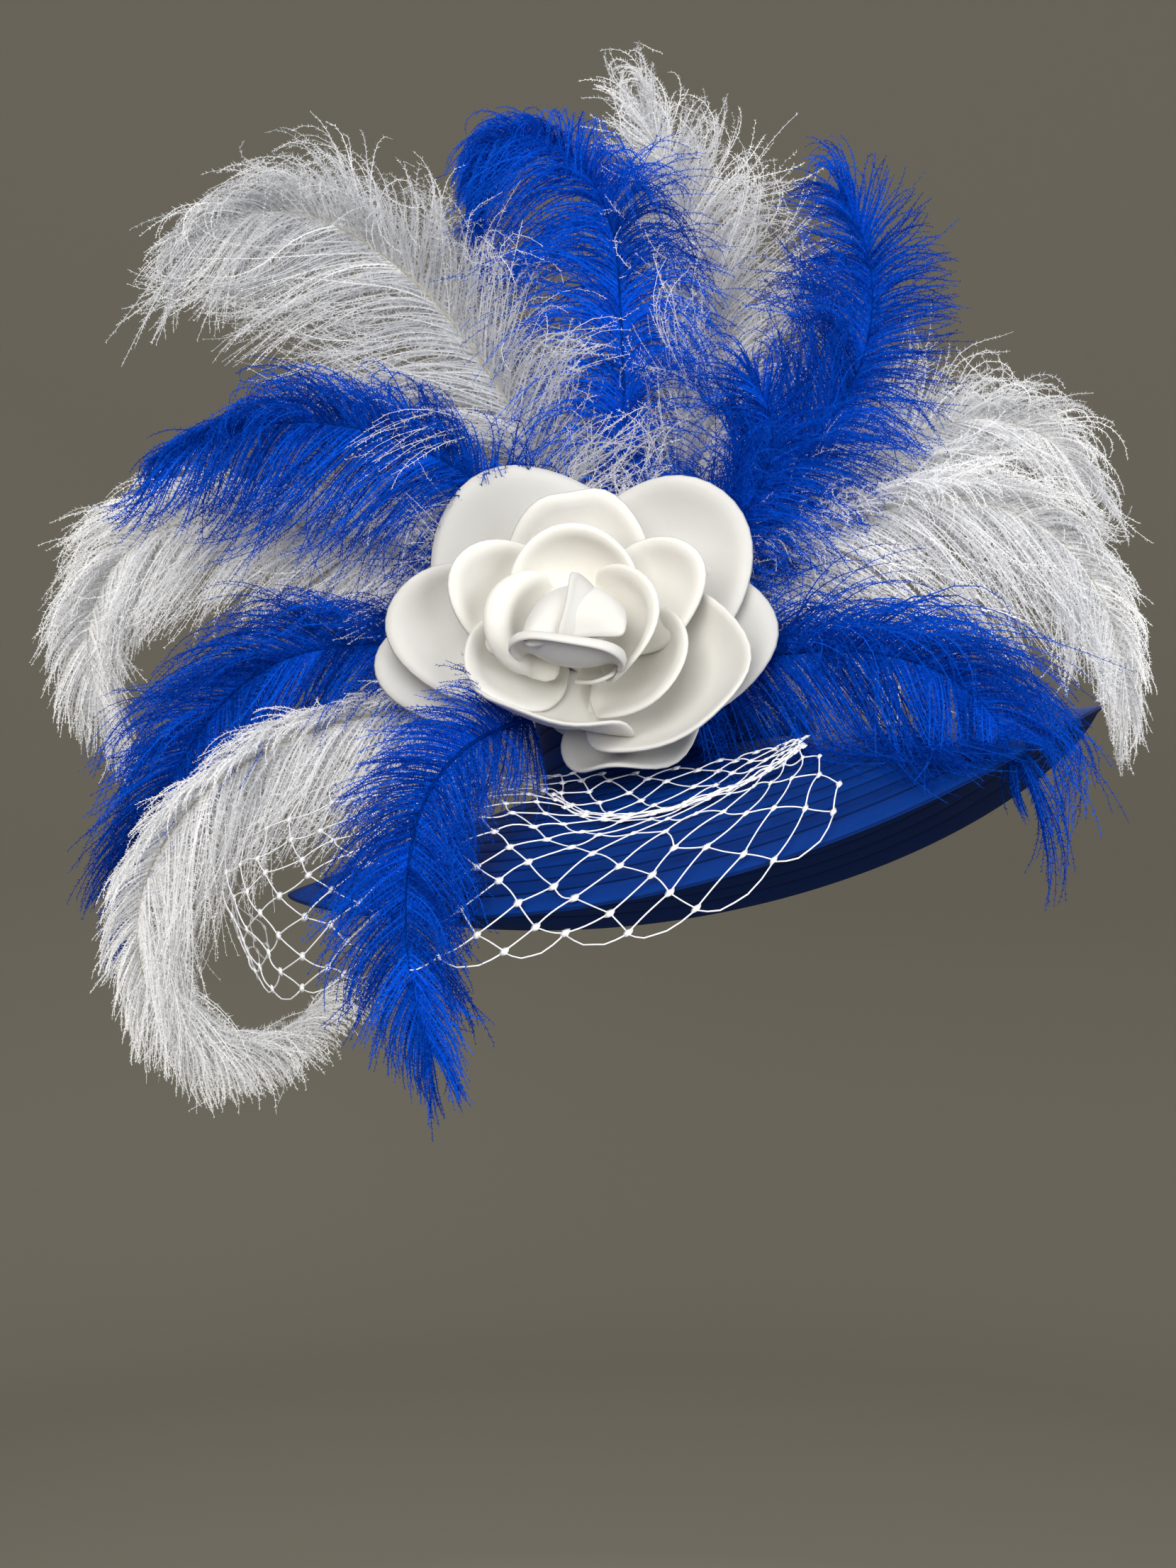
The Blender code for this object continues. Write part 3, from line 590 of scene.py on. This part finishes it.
def quill_line(plume):
    """Points along the quill, from where it stands off the block's rim."""
    ring = math.radians(plume.ring)
    outwards = FLOWER[:3, :3] @ (math.cos(ring), math.sin(ring), 0)
    corner = sum(abs(side @ outwards) for side in quill_sides(quill_directions(plume, np.zeros(1))[0]))
    stand_off = BLOCK_RADIUS + FOAM_GAP + QUILL_HALF * corner
    root = FLOWER @ (stand_off * math.cos(ring), stand_off * math.sin(ring), -plume.back * MM, 1)
    middles = (np.arange(QUILL_STEPS) + 0.5) / QUILL_STEPS
    steps = quill_directions(plume, middles) * plume.length * MM / QUILL_STEPS
    return np.concatenate([root[None, :3], root[:3] + np.cumsum(steps, axis=0)])


def tubes(lines, half, corners, facing):
    """A closed tube round each line, as points and triangles; no line may run along facing."""
    ways = unit(np.gradient(lines, axis=1))
    across = unit(np.cross(facing, ways))
    front = np.cross(ways, across)
    turns = np.arange(corners) * 2 * math.pi / corners
    ring = across[:, :, None] * np.cos(turns)[:, None] + front[:, :, None] * np.sin(turns)[:, None]
    points = lines[:, :, None] + ring * np.reshape(half, (-1, 1, 1))
    count, steps = lines.shape[:2]
    b, k, i = np.meshgrid(np.arange(count), np.arange(steps - 1), np.arange(corners), indexing="ij")
    low = (b * steps + k) * corners
    n = (i + 1) % corners
    corner = np.stack([low + i, low + n, low + corners + n, low + corners + i], axis=-1)
    first = np.arange(count)[:, None] * steps * corners
    last = first + (steps - 1) * corners
    ends = [first + [0, k + 1, k] for k in range(1, corners - 1)]
    ends += [last + [0, k, k + 1] for k in range(1, corners - 1)]
    faces = [corner[..., (0, 1, 2)].reshape(-1, 3), corner[..., (0, 2, 3)].reshape(-1, 3), *ends]
    return points.reshape(-1, 3), np.concatenate(faces)


def turned(vectors, axes, angles):
    """Vectors turned round unit axes, a row of angles at a time."""
    sin, cos = np.sin(angles)[..., None], np.cos(angles)[..., None]
    along = (vectors * axes).sum(axis=-1, keepdims=True)
    return vectors * cos + np.cross(axes, vectors) * sin + axes * along * (1 - cos)


def barb_lines(plume, web, line, side, layer, random):
    """Points along the barbs of one layer at one side of the quill, the ways they face, and their shares."""
    count = int(plume.length * MM * (1 - BARE_QUILL) / BARB_SPACING)
    shares = BARE_QUILL + (1 - BARE_QUILL) * (np.arange(count) + random.uniform(0, 1, count)) / count
    steps = shares * QUILL_STEPS
    root = np.stack([np.interp(steps, np.arange(QUILL_STEPS + 1), line[:, axis]) for axis in range(3)], -1)
    along = quill_directions(plume, shares)
    across, front = quill_sides(along)
    knots = int(plume.length / DRIFT_LENGTH)
    stray = (random.uniform(0, 1, count) < BARB_STRAY * web.loose) * random.uniform(0.4, 1.4, count)
    reach = web.left if side > 0 else web.right
    length = reach * MM * between(FIRST_BARBS, 1, eased(shares, BARE_QUILL * 0.5, FULL_BY))
    length = length * between(1, web.ends[0 if side > 0 else 1], eased(shares, *SHORTER))
    ragged = 0.3 + 0.7 * web.loose
    length = length * (1.04 + 0.1 * drift(random, shares, knots) + ragged * random.uniform(-0.3, 0.1, count))
    fold = web.fold + layer + 10 * drift(random, shares, knots) + random.normal(0, 10, count)
    fold = np.radians(fold)[:, None]
    sweep = between(ROOT_SWEEP, BARB_SWEEP, eased(shares, 0, SWEPT_BY))
    sweep = between(sweep, TIP_SWEEP, eased(shares, CLOSING, 1))
    sweep = (sweep + np.radians(random.normal(0, 5, count)))[:, None]
    sideways = across * side * np.cos(fold) + front * np.sin(fold)
    start = along * np.cos(sweep) + sideways * np.sin(sweep)
    forward = BARB_TURN + web.loose * (0.3 * drift(random, shares, knots) + random.normal(0, 0.2, count))
    outward = web.loose * (0.35 * drift(random, shares, knots) + random.normal(0, 0.25, count))
    curl = along * (forward + stray * random.normal(0, 1.2, count))[:, None]
    curl = curl + front * (outward + stray * random.normal(0, 1.2, count))[:, None]
    limp = web.droop * (1 + 0.25 * drift(random, shares, knots) + random.normal(0, 0.2, count))
    down = np.array([0, 0, -1]) * limp[:, None]
    axis = unit(front + random.normal(0, 0.45, (count, 3)))
    ends = np.radians(web.curl * (0.7 + 0.5 * drift(random, shares, knots)) + random.normal(0, 24, count))
    points = [root]
    for k in range(BARB_STEPS):
        done = (k + 0.5) / BARB_STEPS
        heading = unit(start + down * LIMPNESS * done**1.2 + curl * done**1.5)
        heading = turned(heading, axis, -side * ends * max(0, done - CURL_START) * 2)
        points.append(points[-1] + heading * (length / BARB_STEPS)[:, None])
    lines = np.stack(points, axis=1)
    tuft = np.cumsum(random.uniform(0, 1, count) < 1 / TUFT)
    middles = np.zeros((tuft[-1] + 1, *lines.shape[1:]))
    np.add.at(middles, tuft, lines)
    middles /= np.maximum(np.bincount(tuft), 1)[:, None, None]
    cling = np.linspace(0, 1, BARB_STEPS + 1) ** 2 * random.uniform(0, CLING, (count, 1))
    return lines + (middles[tuft] - lines) * cling[..., None], front, shares


def pressed(lines, reach):
    """Barbs behind the flower are pressed back by its petals, as far out as they reach."""
    places = (lines - FLOWER[:3, 3]) @ FLOWER[:3, :3]
    out = np.hypot(places[..., 0], places[..., 1])
    over = np.maximum(places[..., 2] - PRESSED_BACK - PRESSED_SLOPE * out, 0)
    clear = eased(places[..., :2] @ CLEAR_SIDE, 0.8 * out, 0.95 * out) * eased(out, *CLEAR_REACH)
    return lines - (over * (1 - clear) * (1 - eased(out, *reach)))[..., None] * FLOWER[:3, 2]


def brim_under(places):
    """The height of the brim under places in the hat's frame, which runs on past its edge."""
    across, ahead = places[..., 0] / BRIM_HALF_WIDTH, places[..., 1] / BRIM_HALF_LENGTH
    out = np.hypot(across, ahead)
    shares = np.maximum((out - BRIM_START) / (1 - BRIM_START), 0)
    return brim_places(np.arctan2(ahead, across), shares)[..., 2] + BRIM_CLEAR, out


def laid(lines):
    """Barbs that would hang through the brim lie on it, and slide down over its edge."""
    places = lines @ WORN
    top, out = brim_under(places)
    under = np.where((out < 1) & (places[:, :1, 2] > top[:, :1]), np.maximum(top - places[..., 2], 0), 0)
    away = unit(unit(places[..., :2]) + SLIDE_WAY)
    places[..., :2] += away * (SLIDE * under)[..., None]
    top, out = brim_under(places)
    places[..., 2] = np.where(under > 0, top + PILE * under, places[..., 2])
    return places @ WORN.T


def ribbons(lines, fronts, random):
    """A thin tapered ribbon along each barb: points, triangles, and how far out each point is."""
    ways = unit(np.gradient(lines, axis=1))
    faces = unit(fronts[:, None] + random.normal(0, 0.4, (len(lines), 1, 3)))
    sides = unit(np.cross(ways, faces))
    half = BARB_HALF * (1 - 0.85 * np.linspace(0, 1, lines.shape[1]) ** 0.6)[:, None]
    points = np.stack([lines - sides * half, lines + sides * half], axis=2)
    count, steps = lines.shape[:2]
    b, k = np.meshgrid(np.arange(count), np.arange(steps - 1), indexing="ij")
    first = (b * steps + k) * 2
    faces = np.concatenate([
        np.stack([first, first + 1, first + 3], -1).reshape(-1, 3),
        np.stack([first, first + 3, first + 2], -1).reshape(-1, 3),
    ])
    return points.reshape(-1, 3), faces, np.tile(np.repeat(np.linspace(0, 1, steps), 2), (count, 1))


def hairs(lines, fronts, lengths, random):
    """The fine hairs along both sides of each barb, one thin triangle each, and how far out they are."""
    count, steps = lines.shape[:2]
    ways = unit(np.gradient(lines, axis=1))
    share = (np.arange(HAIRS)[None, :, None] + random.uniform(0, 1, (count, HAIRS, 2))) / HAIRS
    place = share * (steps - 1)
    k = np.minimum(place.astype(int), steps - 2)
    rest = (place - k)[..., None]
    rows = np.arange(count)[:, None, None]
    base = lines[rows, k] * (1 - rest) + lines[rows, k + 1] * rest
    way = ways[rows, k]
    front = unit(np.cross(np.cross(way, fronts[:, None, None]), way))
    out = np.cross(front, way) * np.array([1, -1])[:, None]
    tilt = random.normal(0, 0.7, share.shape)[..., None]
    lean = np.radians(random.uniform(38, 66, share.shape))[..., None]
    ahead = way * np.cos(lean) + (out * np.cos(tilt) + front * np.sin(tilt)) * np.sin(lean)
    size = HAIR_LENGTH * between(1, 0.2, share) * random.uniform(0.6, 1.15, share.shape)
    size = size * np.clip(lengths / FULL_HAIRS, 0.5, 1)[:, None, None]
    half = way * HAIR_BASE / 2
    points = np.stack([base - half, base + half, base + ahead * size[..., None]], axis=-2).reshape(-1, 3)
    return points, np.arange(len(points)).reshape(-1, 3), np.repeat(share, 3, axis=-1).reshape(count, -1)


def plume_finish(name, dark, light, quill):
    """Dyed or bleached barbs that let some light through, each of its own tone."""
    material, shader = finish_of(name, Roughness=0.85, Specular_IOR_Level=0.04)
    link = material.node_tree.links.new
    tone = node(material, "Attribute", {"attribute_name": "tone"}).outputs["Fac"]
    stem = node(material, "Attribute", {"attribute_name": "quill"}).outputs["Fac"]
    down = noise(material, node(material, "TexCoord").outputs["Object"], 520, 2)
    mottled = maths(material, "ADD", tone, ranged(material, down, 0.25, 0.75, -0.3, 0.3))
    colour = tinted(material, stem, tinted(material, mottled, dark, light), quill)
    link(colour, shader.inputs["Base Color"])
    through = node(material, "BsdfTranslucent", Color=colour)
    mix = node(material, "MixShader", Fac=0.35)
    link(shader.outputs[0], mix.inputs[1])
    link(through.outputs[0], mix.inputs[2])
    link(mix.outputs[0], material.node_tree.nodes["Material Output"].inputs["Surface"])
    return material


plume_finishes = {
    "blue": plume_finish("blue_ostrich", (0.0, 0.026, 0.26), (0.003, 0.128, 0.84), (0.0, 0.030, 0.26)),
    # The white plumes' grey dark end also paints the shade that the white plume at the top left lies in.
    "white": plume_finish("white_ostrich", (0.54, 0.55, 0.58), (0.97, 0.97, 0.97), (0.55, 0.52, 0.42)),
}
TIP_TONES = {"blue": -0.35, "white": 0.3}  # how much lighter or darker the barbs are at their ends
for seed, (plume, web) in enumerate(zip(PLUMES, WEBS)):
    random = np.random.default_rng(seed)
    dye = plume.node.split("_")[1]
    line = quill_line(plume)
    half = QUILL_HALF * np.linspace(1, 0.22, QUILL_STEPS // 3 + 1)
    parts = [tubes(line[None, ::3], half, QUILL_SIDES, (0, -1, 0))]
    tones = [np.full(len(parts[0][0]), 0.5)]
    for side, layer in [(side, layer) for side in (1, -1) for layer in LAYERS]:
        lines, fronts, shares = barb_lines(plume, web, line, side, layer, random)
        lines = laid(pressed(lines, PRESSED_REACH if plume.leans[0] < 20 else FRONT_REACH))
        lengths = np.linalg.norm(np.diff(lines, axis=1), axis=2).sum(axis=1)
        # a plume's own tone, which also paints the shade of a plume in shade, varied at random along it
        tone = web.tone + 0.16 * drift(random, shares, TONE_KNOTS) + random.normal(0, 0.16, len(shares))
        for points, faces, out in (ribbons(lines, fronts, random), hairs(lines, fronts, lengths, random)):
            parts.append((points, faces))
            tones.append(np.clip(tone[:, None] + TIP_TONES[dye] * (out**2 - 0.3), 0, 1).ravel())
    starts = np.cumsum([0] + [len(points) for points, _ in parts])
    points = np.concatenate([points for points, _ in parts])
    faces = np.concatenate([faces + start for (_, faces), start in zip(parts, starts)])
    piece_name = plume.node.replace("plume", "ostrich")
    piece = mesh_piece(piece_name, points, faces, plume_finishes[dye], dye + "_plume", plume.node)
    stem = np.arange(len(points)) < starts[1]
    for kind, values in (("tone", np.concatenate(tones)), ("quill", stem)):
        attribute = piece.data.attributes.new(kind, "FLOAT", "POINT")
        attribute.data.foreach_set("value", values.astype(np.float32))

# The veiling
# Two lengths of white millinery net: thin stiff cord in wide diamonds, joined by flat knots, with an
# edge of open loops. Each is gathered under the flower or behind the crown and puffs out over the brim.
# A section runs across the net from root to hem: the angles of its two ends round the brim, and its
# root, crest, bulge and hem, each a share of the brim's width and a height over the brim in mm. roped
# is the share of its rows that are drawn up, the last of them into a rope along the crest.
Section = namedtuple("Section", "root_angle hem_angle root crest bulge hem roped")
FRONT_SECTIONS = (
    Section(-58, -68, (0.40, 9), (0.46, 9), (0.74, 12), (1.00, 4), 0.72),
    Section(-72, -87, (0.34, 6), (0.52, 3), (0.84, 10), (1.12, -6), 0.62),
    Section(-96, -105, (0.26, 6), (0.53, 4), (0.86, 12), (1.12, -10), 0.5),
    Section(-118, -122, (0.22, 12), (0.34, 16), (0.80, 26), (1.16, -14), 0.3),
    Section(-138, -139, (0.30, 10), (0.66, 44), (1.12, 26), (1.20, -30), 0.05),
    Section(-156, -156, (0.34, 16), (0.72, 60), (1.20, 34), (1.16, -34), 0),
    Section(-172, -173, (0.36, 20), (0.74, 66), (1.20, 40), (1.10, -30), 0),
)
SIDE_SECTIONS = (
    Section(-20, -24, (0.30, 0.5), (0.36, 40), (0.60, 62), (0.86, 50), 0),
    Section(6, 6, (0.30, 0.5), (0.40, 50), (0.66, 72), (0.90, 40), 0),
    Section(34, 34, (0.30, 0.5), (0.38, 44), (0.60, 60), (0.84, 30), 0),
)
Veil = namedtuple("Veil", "node sections columns rows")
VEILS = (Veil("veil_front", FRONT_SECTIONS, 15, 10), Veil("veil_side", SIDE_SECTIONS, 6, 6))
ROPE_START = 0.4  # the share of the drawn up rows that lie over the rope
ROPE_DEPTH = 0.05  # how much of the net's way from root to hem the rope takes up
NET_STEPS = 64
CORD_HALF = 0.4 * MM
CORD_POINTS = 7
KNOT_LONG = 2.8 * MM
KNOT_SHORT = 2.3 * MM
KNOT_HALF = 0.9 * MM
KNOT_STRAY = 0.14  # how far a knot strays, as a share of half a cell
CORD_SAG = 0.7 * MM
NET_DARK = (0.80, 0.81, 0.84)
NET_LIGHT = (0.93, 0.93, 0.94)


def net_surface(veil):
    """A close grid of points of the net in the hat's frame, down by across."""
    across = np.linspace(0, 1, NET_STEPS + 1)
    roots, hems, *places, ropes = zip(*veil.sections)
    roped = np.clip(smooth_through(ropes, across), 0.01, 1)
    root, hem = smooth_through(roots, across), smooth_through(hems, across)
    shares, lifts = (
        np.array([smooth_through([place[part] for place in kind], across) for kind in places])
        for part in (0, 1)
    )
    rows = []
    for down in across:
        over = 1 / 3 * np.clip(down / (ROPE_START * roped), 0, 1)
        rope = ROPE_DEPTH * np.clip((down / roped - ROPE_START) / (1 - ROPE_START), 0, 1)
        below = (2 / 3 - ROPE_DEPTH) * np.clip((down - roped) / (1 - roped), 0, 1)
        steps = between(down, over + rope + below, np.clip(roped / 0.3, 0, 1))
        angle = np.radians(between(root, hem, steps))
        share, lift = (
            np.array([smooth_through(column, step) for column, step in zip(values.T, steps)])
            for values in (shares, lifts)
        )
        rows.append(brim_places(angle, share) + np.stack([0 * lift, 0 * lift, lift * MM], -1))
    return np.array(rows)


def on_net(surface, across, down):
    """Points of the net at shares of its width and of its depth."""
    i, k = (np.clip(value, 0, 1) * NET_STEPS for value in (across, down))
    i0, k0 = (np.minimum(value.astype(int), NET_STEPS - 1) for value in (i, k))
    u, v = (i - i0)[..., None], (k - k0)[..., None]
    near = between(surface[k0, i0], surface[k0, i0 + 1], u)
    return between(near, between(surface[k0 + 1, i0], surface[k0 + 1, i0 + 1], u), v)


def net_cords(veil, surface, random):
    """The lines of all the cords between knots, and the knots' places on the net."""
    wide, deep = 2 * veil.columns, 2 * veil.rows
    knots = {}
    for i in range(wide + 1):
        for j in range(deep):
            if (i + j) % 2 == 0:
                edge = i in (0, wide) or j == 0
                stray = random.normal(0, 0 if edge else KNOT_STRAY, 2)
                knots[i, j] = ((i + stray[0]) / wide, (j + stray[1]) / deep)
    spans = []
    for i, j in knots:
        spans += [(knots[i, j], knots[i + 1, n], 0) for n in (j - 1, j + 1) if (i + 1, n) in knots]
        if j == deep - 1 and (i + 2, j) in knots:
            spans.append((knots[i, j], knots[i + 2, j], 1 / deep))
    start, end, loop = (np.array(column) for column in zip(*spans))
    share = np.linspace(0, 1, CORD_POINTS)
    across = between(start[:, :1], end[:, :1], share)
    corner = 1.08 - np.sqrt((2 * share - 1) ** 2 + 0.0064 + 0.16 * (1 - np.abs(2 * share - 1)) ** 3)
    down = between(start[:, 1:], end[:, 1:], share) + loop[:, None] * corner
    lines = on_net(surface, across, down)
    sag = random.normal(0, CORD_SAG, (len(lines), 1, 3)) * np.sin(math.pi * share)[:, None]
    return lines + sag, np.array(list(knots.values()))


def net_knots(surface, places):
    """The flat knots: eight-cornered plates, longest along the cords, thickest in the middle."""
    step = 0.25 / NET_STEPS
    middle = on_net(surface, places[:, 0], places[:, 1])
    right = unit(on_net(surface, np.minimum(places[:, 0] + step, 1), places[:, 1])
                 - on_net(surface, np.maximum(places[:, 0] - step, 0), places[:, 1]))
    below = unit(on_net(surface, places[:, 0], np.minimum(places[:, 1] + step, 1))
                 - on_net(surface, places[:, 0], np.maximum(places[:, 1] - step, 0)))
    normal = unit(np.cross(right, below)) * KNOT_HALF
    turns = np.arange(8) * math.pi / 4 + math.pi / 4
    reach = np.where(np.arange(8) % 2 == 0, KNOT_LONG, KNOT_SHORT)
    across, down = reach * np.cos(turns), reach * np.sin(turns)
    rim = right[:, None] * across[:, None] + below[:, None] * down[:, None]
    corners = [middle[:, None] + rim, (middle + normal)[:, None], (middle - normal)[:, None]]
    points = np.concatenate(corners, axis=1)
    ring = np.arange(8)
    after = np.roll(ring, -1)
    front, back = np.stack([ring, after, 0 * ring + 8], -1), np.stack([after, ring, 0 * ring + 9], -1)
    plate = np.concatenate([front, back])
    return points.reshape(-1, 3), (np.arange(len(middle))[:, None, None] * 10 + plate).reshape(-1, 3)


netting, netting_shader = finish_of("white_netting", Roughness=0.4)
netting_place = node(netting, "TexCoord").outputs["Object"]
netting.node_tree.links.new(
    tinted(netting, noise(netting, netting_place, 120, 3), NET_DARK, NET_LIGHT),
    netting_shader.inputs["Base Color"],
)
for seed, veil in enumerate(VEILS):
    random = np.random.default_rng(100 + seed)
    surface = net_surface(veil)
    lines, places = net_cords(veil, surface, random)
    facing = unit(np.cross(surface[0, -1] - surface[0, 0], surface[-1, 0] - surface[0, 0]))
    points, faces = tubes(lines, CORD_HALF, 4, facing)
    knot_points, knot_faces = net_knots(surface, places)
    faces = np.concatenate([faces, knot_faces + len(points)])
    points = np.concatenate([points, knot_points]) @ WORN.T
    piece = mesh_piece(veil.node + "_net", points, faces, netting, "netting", veil.node)

# The studio
# A plain pale floor that sweeps up all round into a plain grey wall, painted on. A large soft light
# hangs above and to the left of the camera, a weaker one stands at its right and a small one behind
# the hat, and an even light comes from everywhere.
FLOOR = -1.1
FLOOR_RADIUS = 2.3
SWEEP_RADIUS = 0.9
WALL_HEIGHT = 3.2
SWEEP_STEPS = 12
SWEEP_SIDES = 72
FLOOR_PAINT = (0.38, 0.37, 0.345)
WALL_PAINT = (0.222, 0.206, 0.166)
PAINT_FADE = (0.9, 1.5)  # how far from the middle the floor's paint starts and ends to turn into the wall's
LIT_POINT = Vector((-0.05, 0, 0.1))  # where the lights are aimed
profile = [(FLOOR_RADIUS * 0.6, FLOOR)]
for k in range(SWEEP_STEPS + 1):
    turn = math.pi / 2 * k / SWEEP_STEPS
    rise = SWEEP_RADIUS * (1 - math.cos(turn))
    profile.append((FLOOR_RADIUS + SWEEP_RADIUS * math.sin(turn), FLOOR + rise))
profile.append((FLOOR_RADIUS + SWEEP_RADIUS, WALL_HEIGHT))
turns = np.linspace(0, 2 * math.pi, SWEEP_SIDES, endpoint=False)
rings = np.array([[(r * math.cos(a), r * math.sin(a), z) for a in turns] for r, z in profile])
k, i = np.meshgrid(np.arange(len(rings) - 1), np.arange(len(turns)), indexing="ij")
n = (i + 1) % len(turns)
quads = np.stack([k, k, k + 1, k + 1], -1) * len(turns) + np.stack([i, n, n, i], -1)
sweep_mesh = bpy.data.meshes.new("studio_sweep")
sweep_mesh.from_pydata(
    rings.reshape(-1, 3).tolist(), [], quads.reshape(-1, 4).tolist() + [list(range(len(turns)))[::-1]]
)
sweep_mesh.shade_smooth()
sweep = bpy.data.objects.new("studio_sweep", sweep_mesh)
bpy.context.scene.collection.objects.link(sweep)
paint, paint_shader = finish_of("studio_paint", Roughness=0.95, Specular_IOR_Level=0.1)
paint_place = node(paint, "TexCoord").outputs["Object"]
paint_flat = node(paint, "Mapping", Vector=paint_place, Scale=(1, 1, 0)).outputs["Vector"]
paint_radius = node(paint, "VectorMath", {"operation": "LENGTH"}, Vector=paint_flat).outputs["Value"]
paint.node_tree.links.new(
    tinted(paint, ranged(paint, paint_radius, *PAINT_FADE), FLOOR_PAINT, WALL_PAINT),
    paint_shader.inputs["Base Color"],
)
sweep_mesh.materials.append(paint)

StudioLight = namedtuple("StudioLight", "name place size watts colour")
for light in (
    StudioLight("key_light", (-0.8, -2.1, 1.05), 2.0, 66, (1.0, 0.98, 0.95)),
    StudioLight("fill_light", (1.5, -1.7, 0.3), 1.6, 38, (0.97, 0.98, 1.0)),
    StudioLight("back_light", (0.5, 1.6, 1.6), 1.2, 18, (1.0, 0.98, 0.95)),
):
    lamp = bpy.data.lights.new(light.name, "AREA")
    lamp.size = light.size
    lamp.energy = light.watts
    lamp.color = light.colour
    lit = bpy.data.objects.new(light.name, lamp)
    lit.location = light.place
    lit.rotation_euler = (Vector(light.place) - LIT_POINT).to_track_quat("Z", "Y").to_euler()
    bpy.context.scene.collection.objects.link(lit)
sky = bpy.data.worlds.new("studio_air")
sky.use_nodes = True
sky.node_tree.nodes["Background"].inputs["Color"].default_value = (0.95, 0.97, 1.0, 1)
sky.node_tree.nodes["Background"].inputs["Strength"].default_value = 0.75
bpy.context.scene.world = sky
bpy.context.scene.view_settings.view_transform = "Standard"
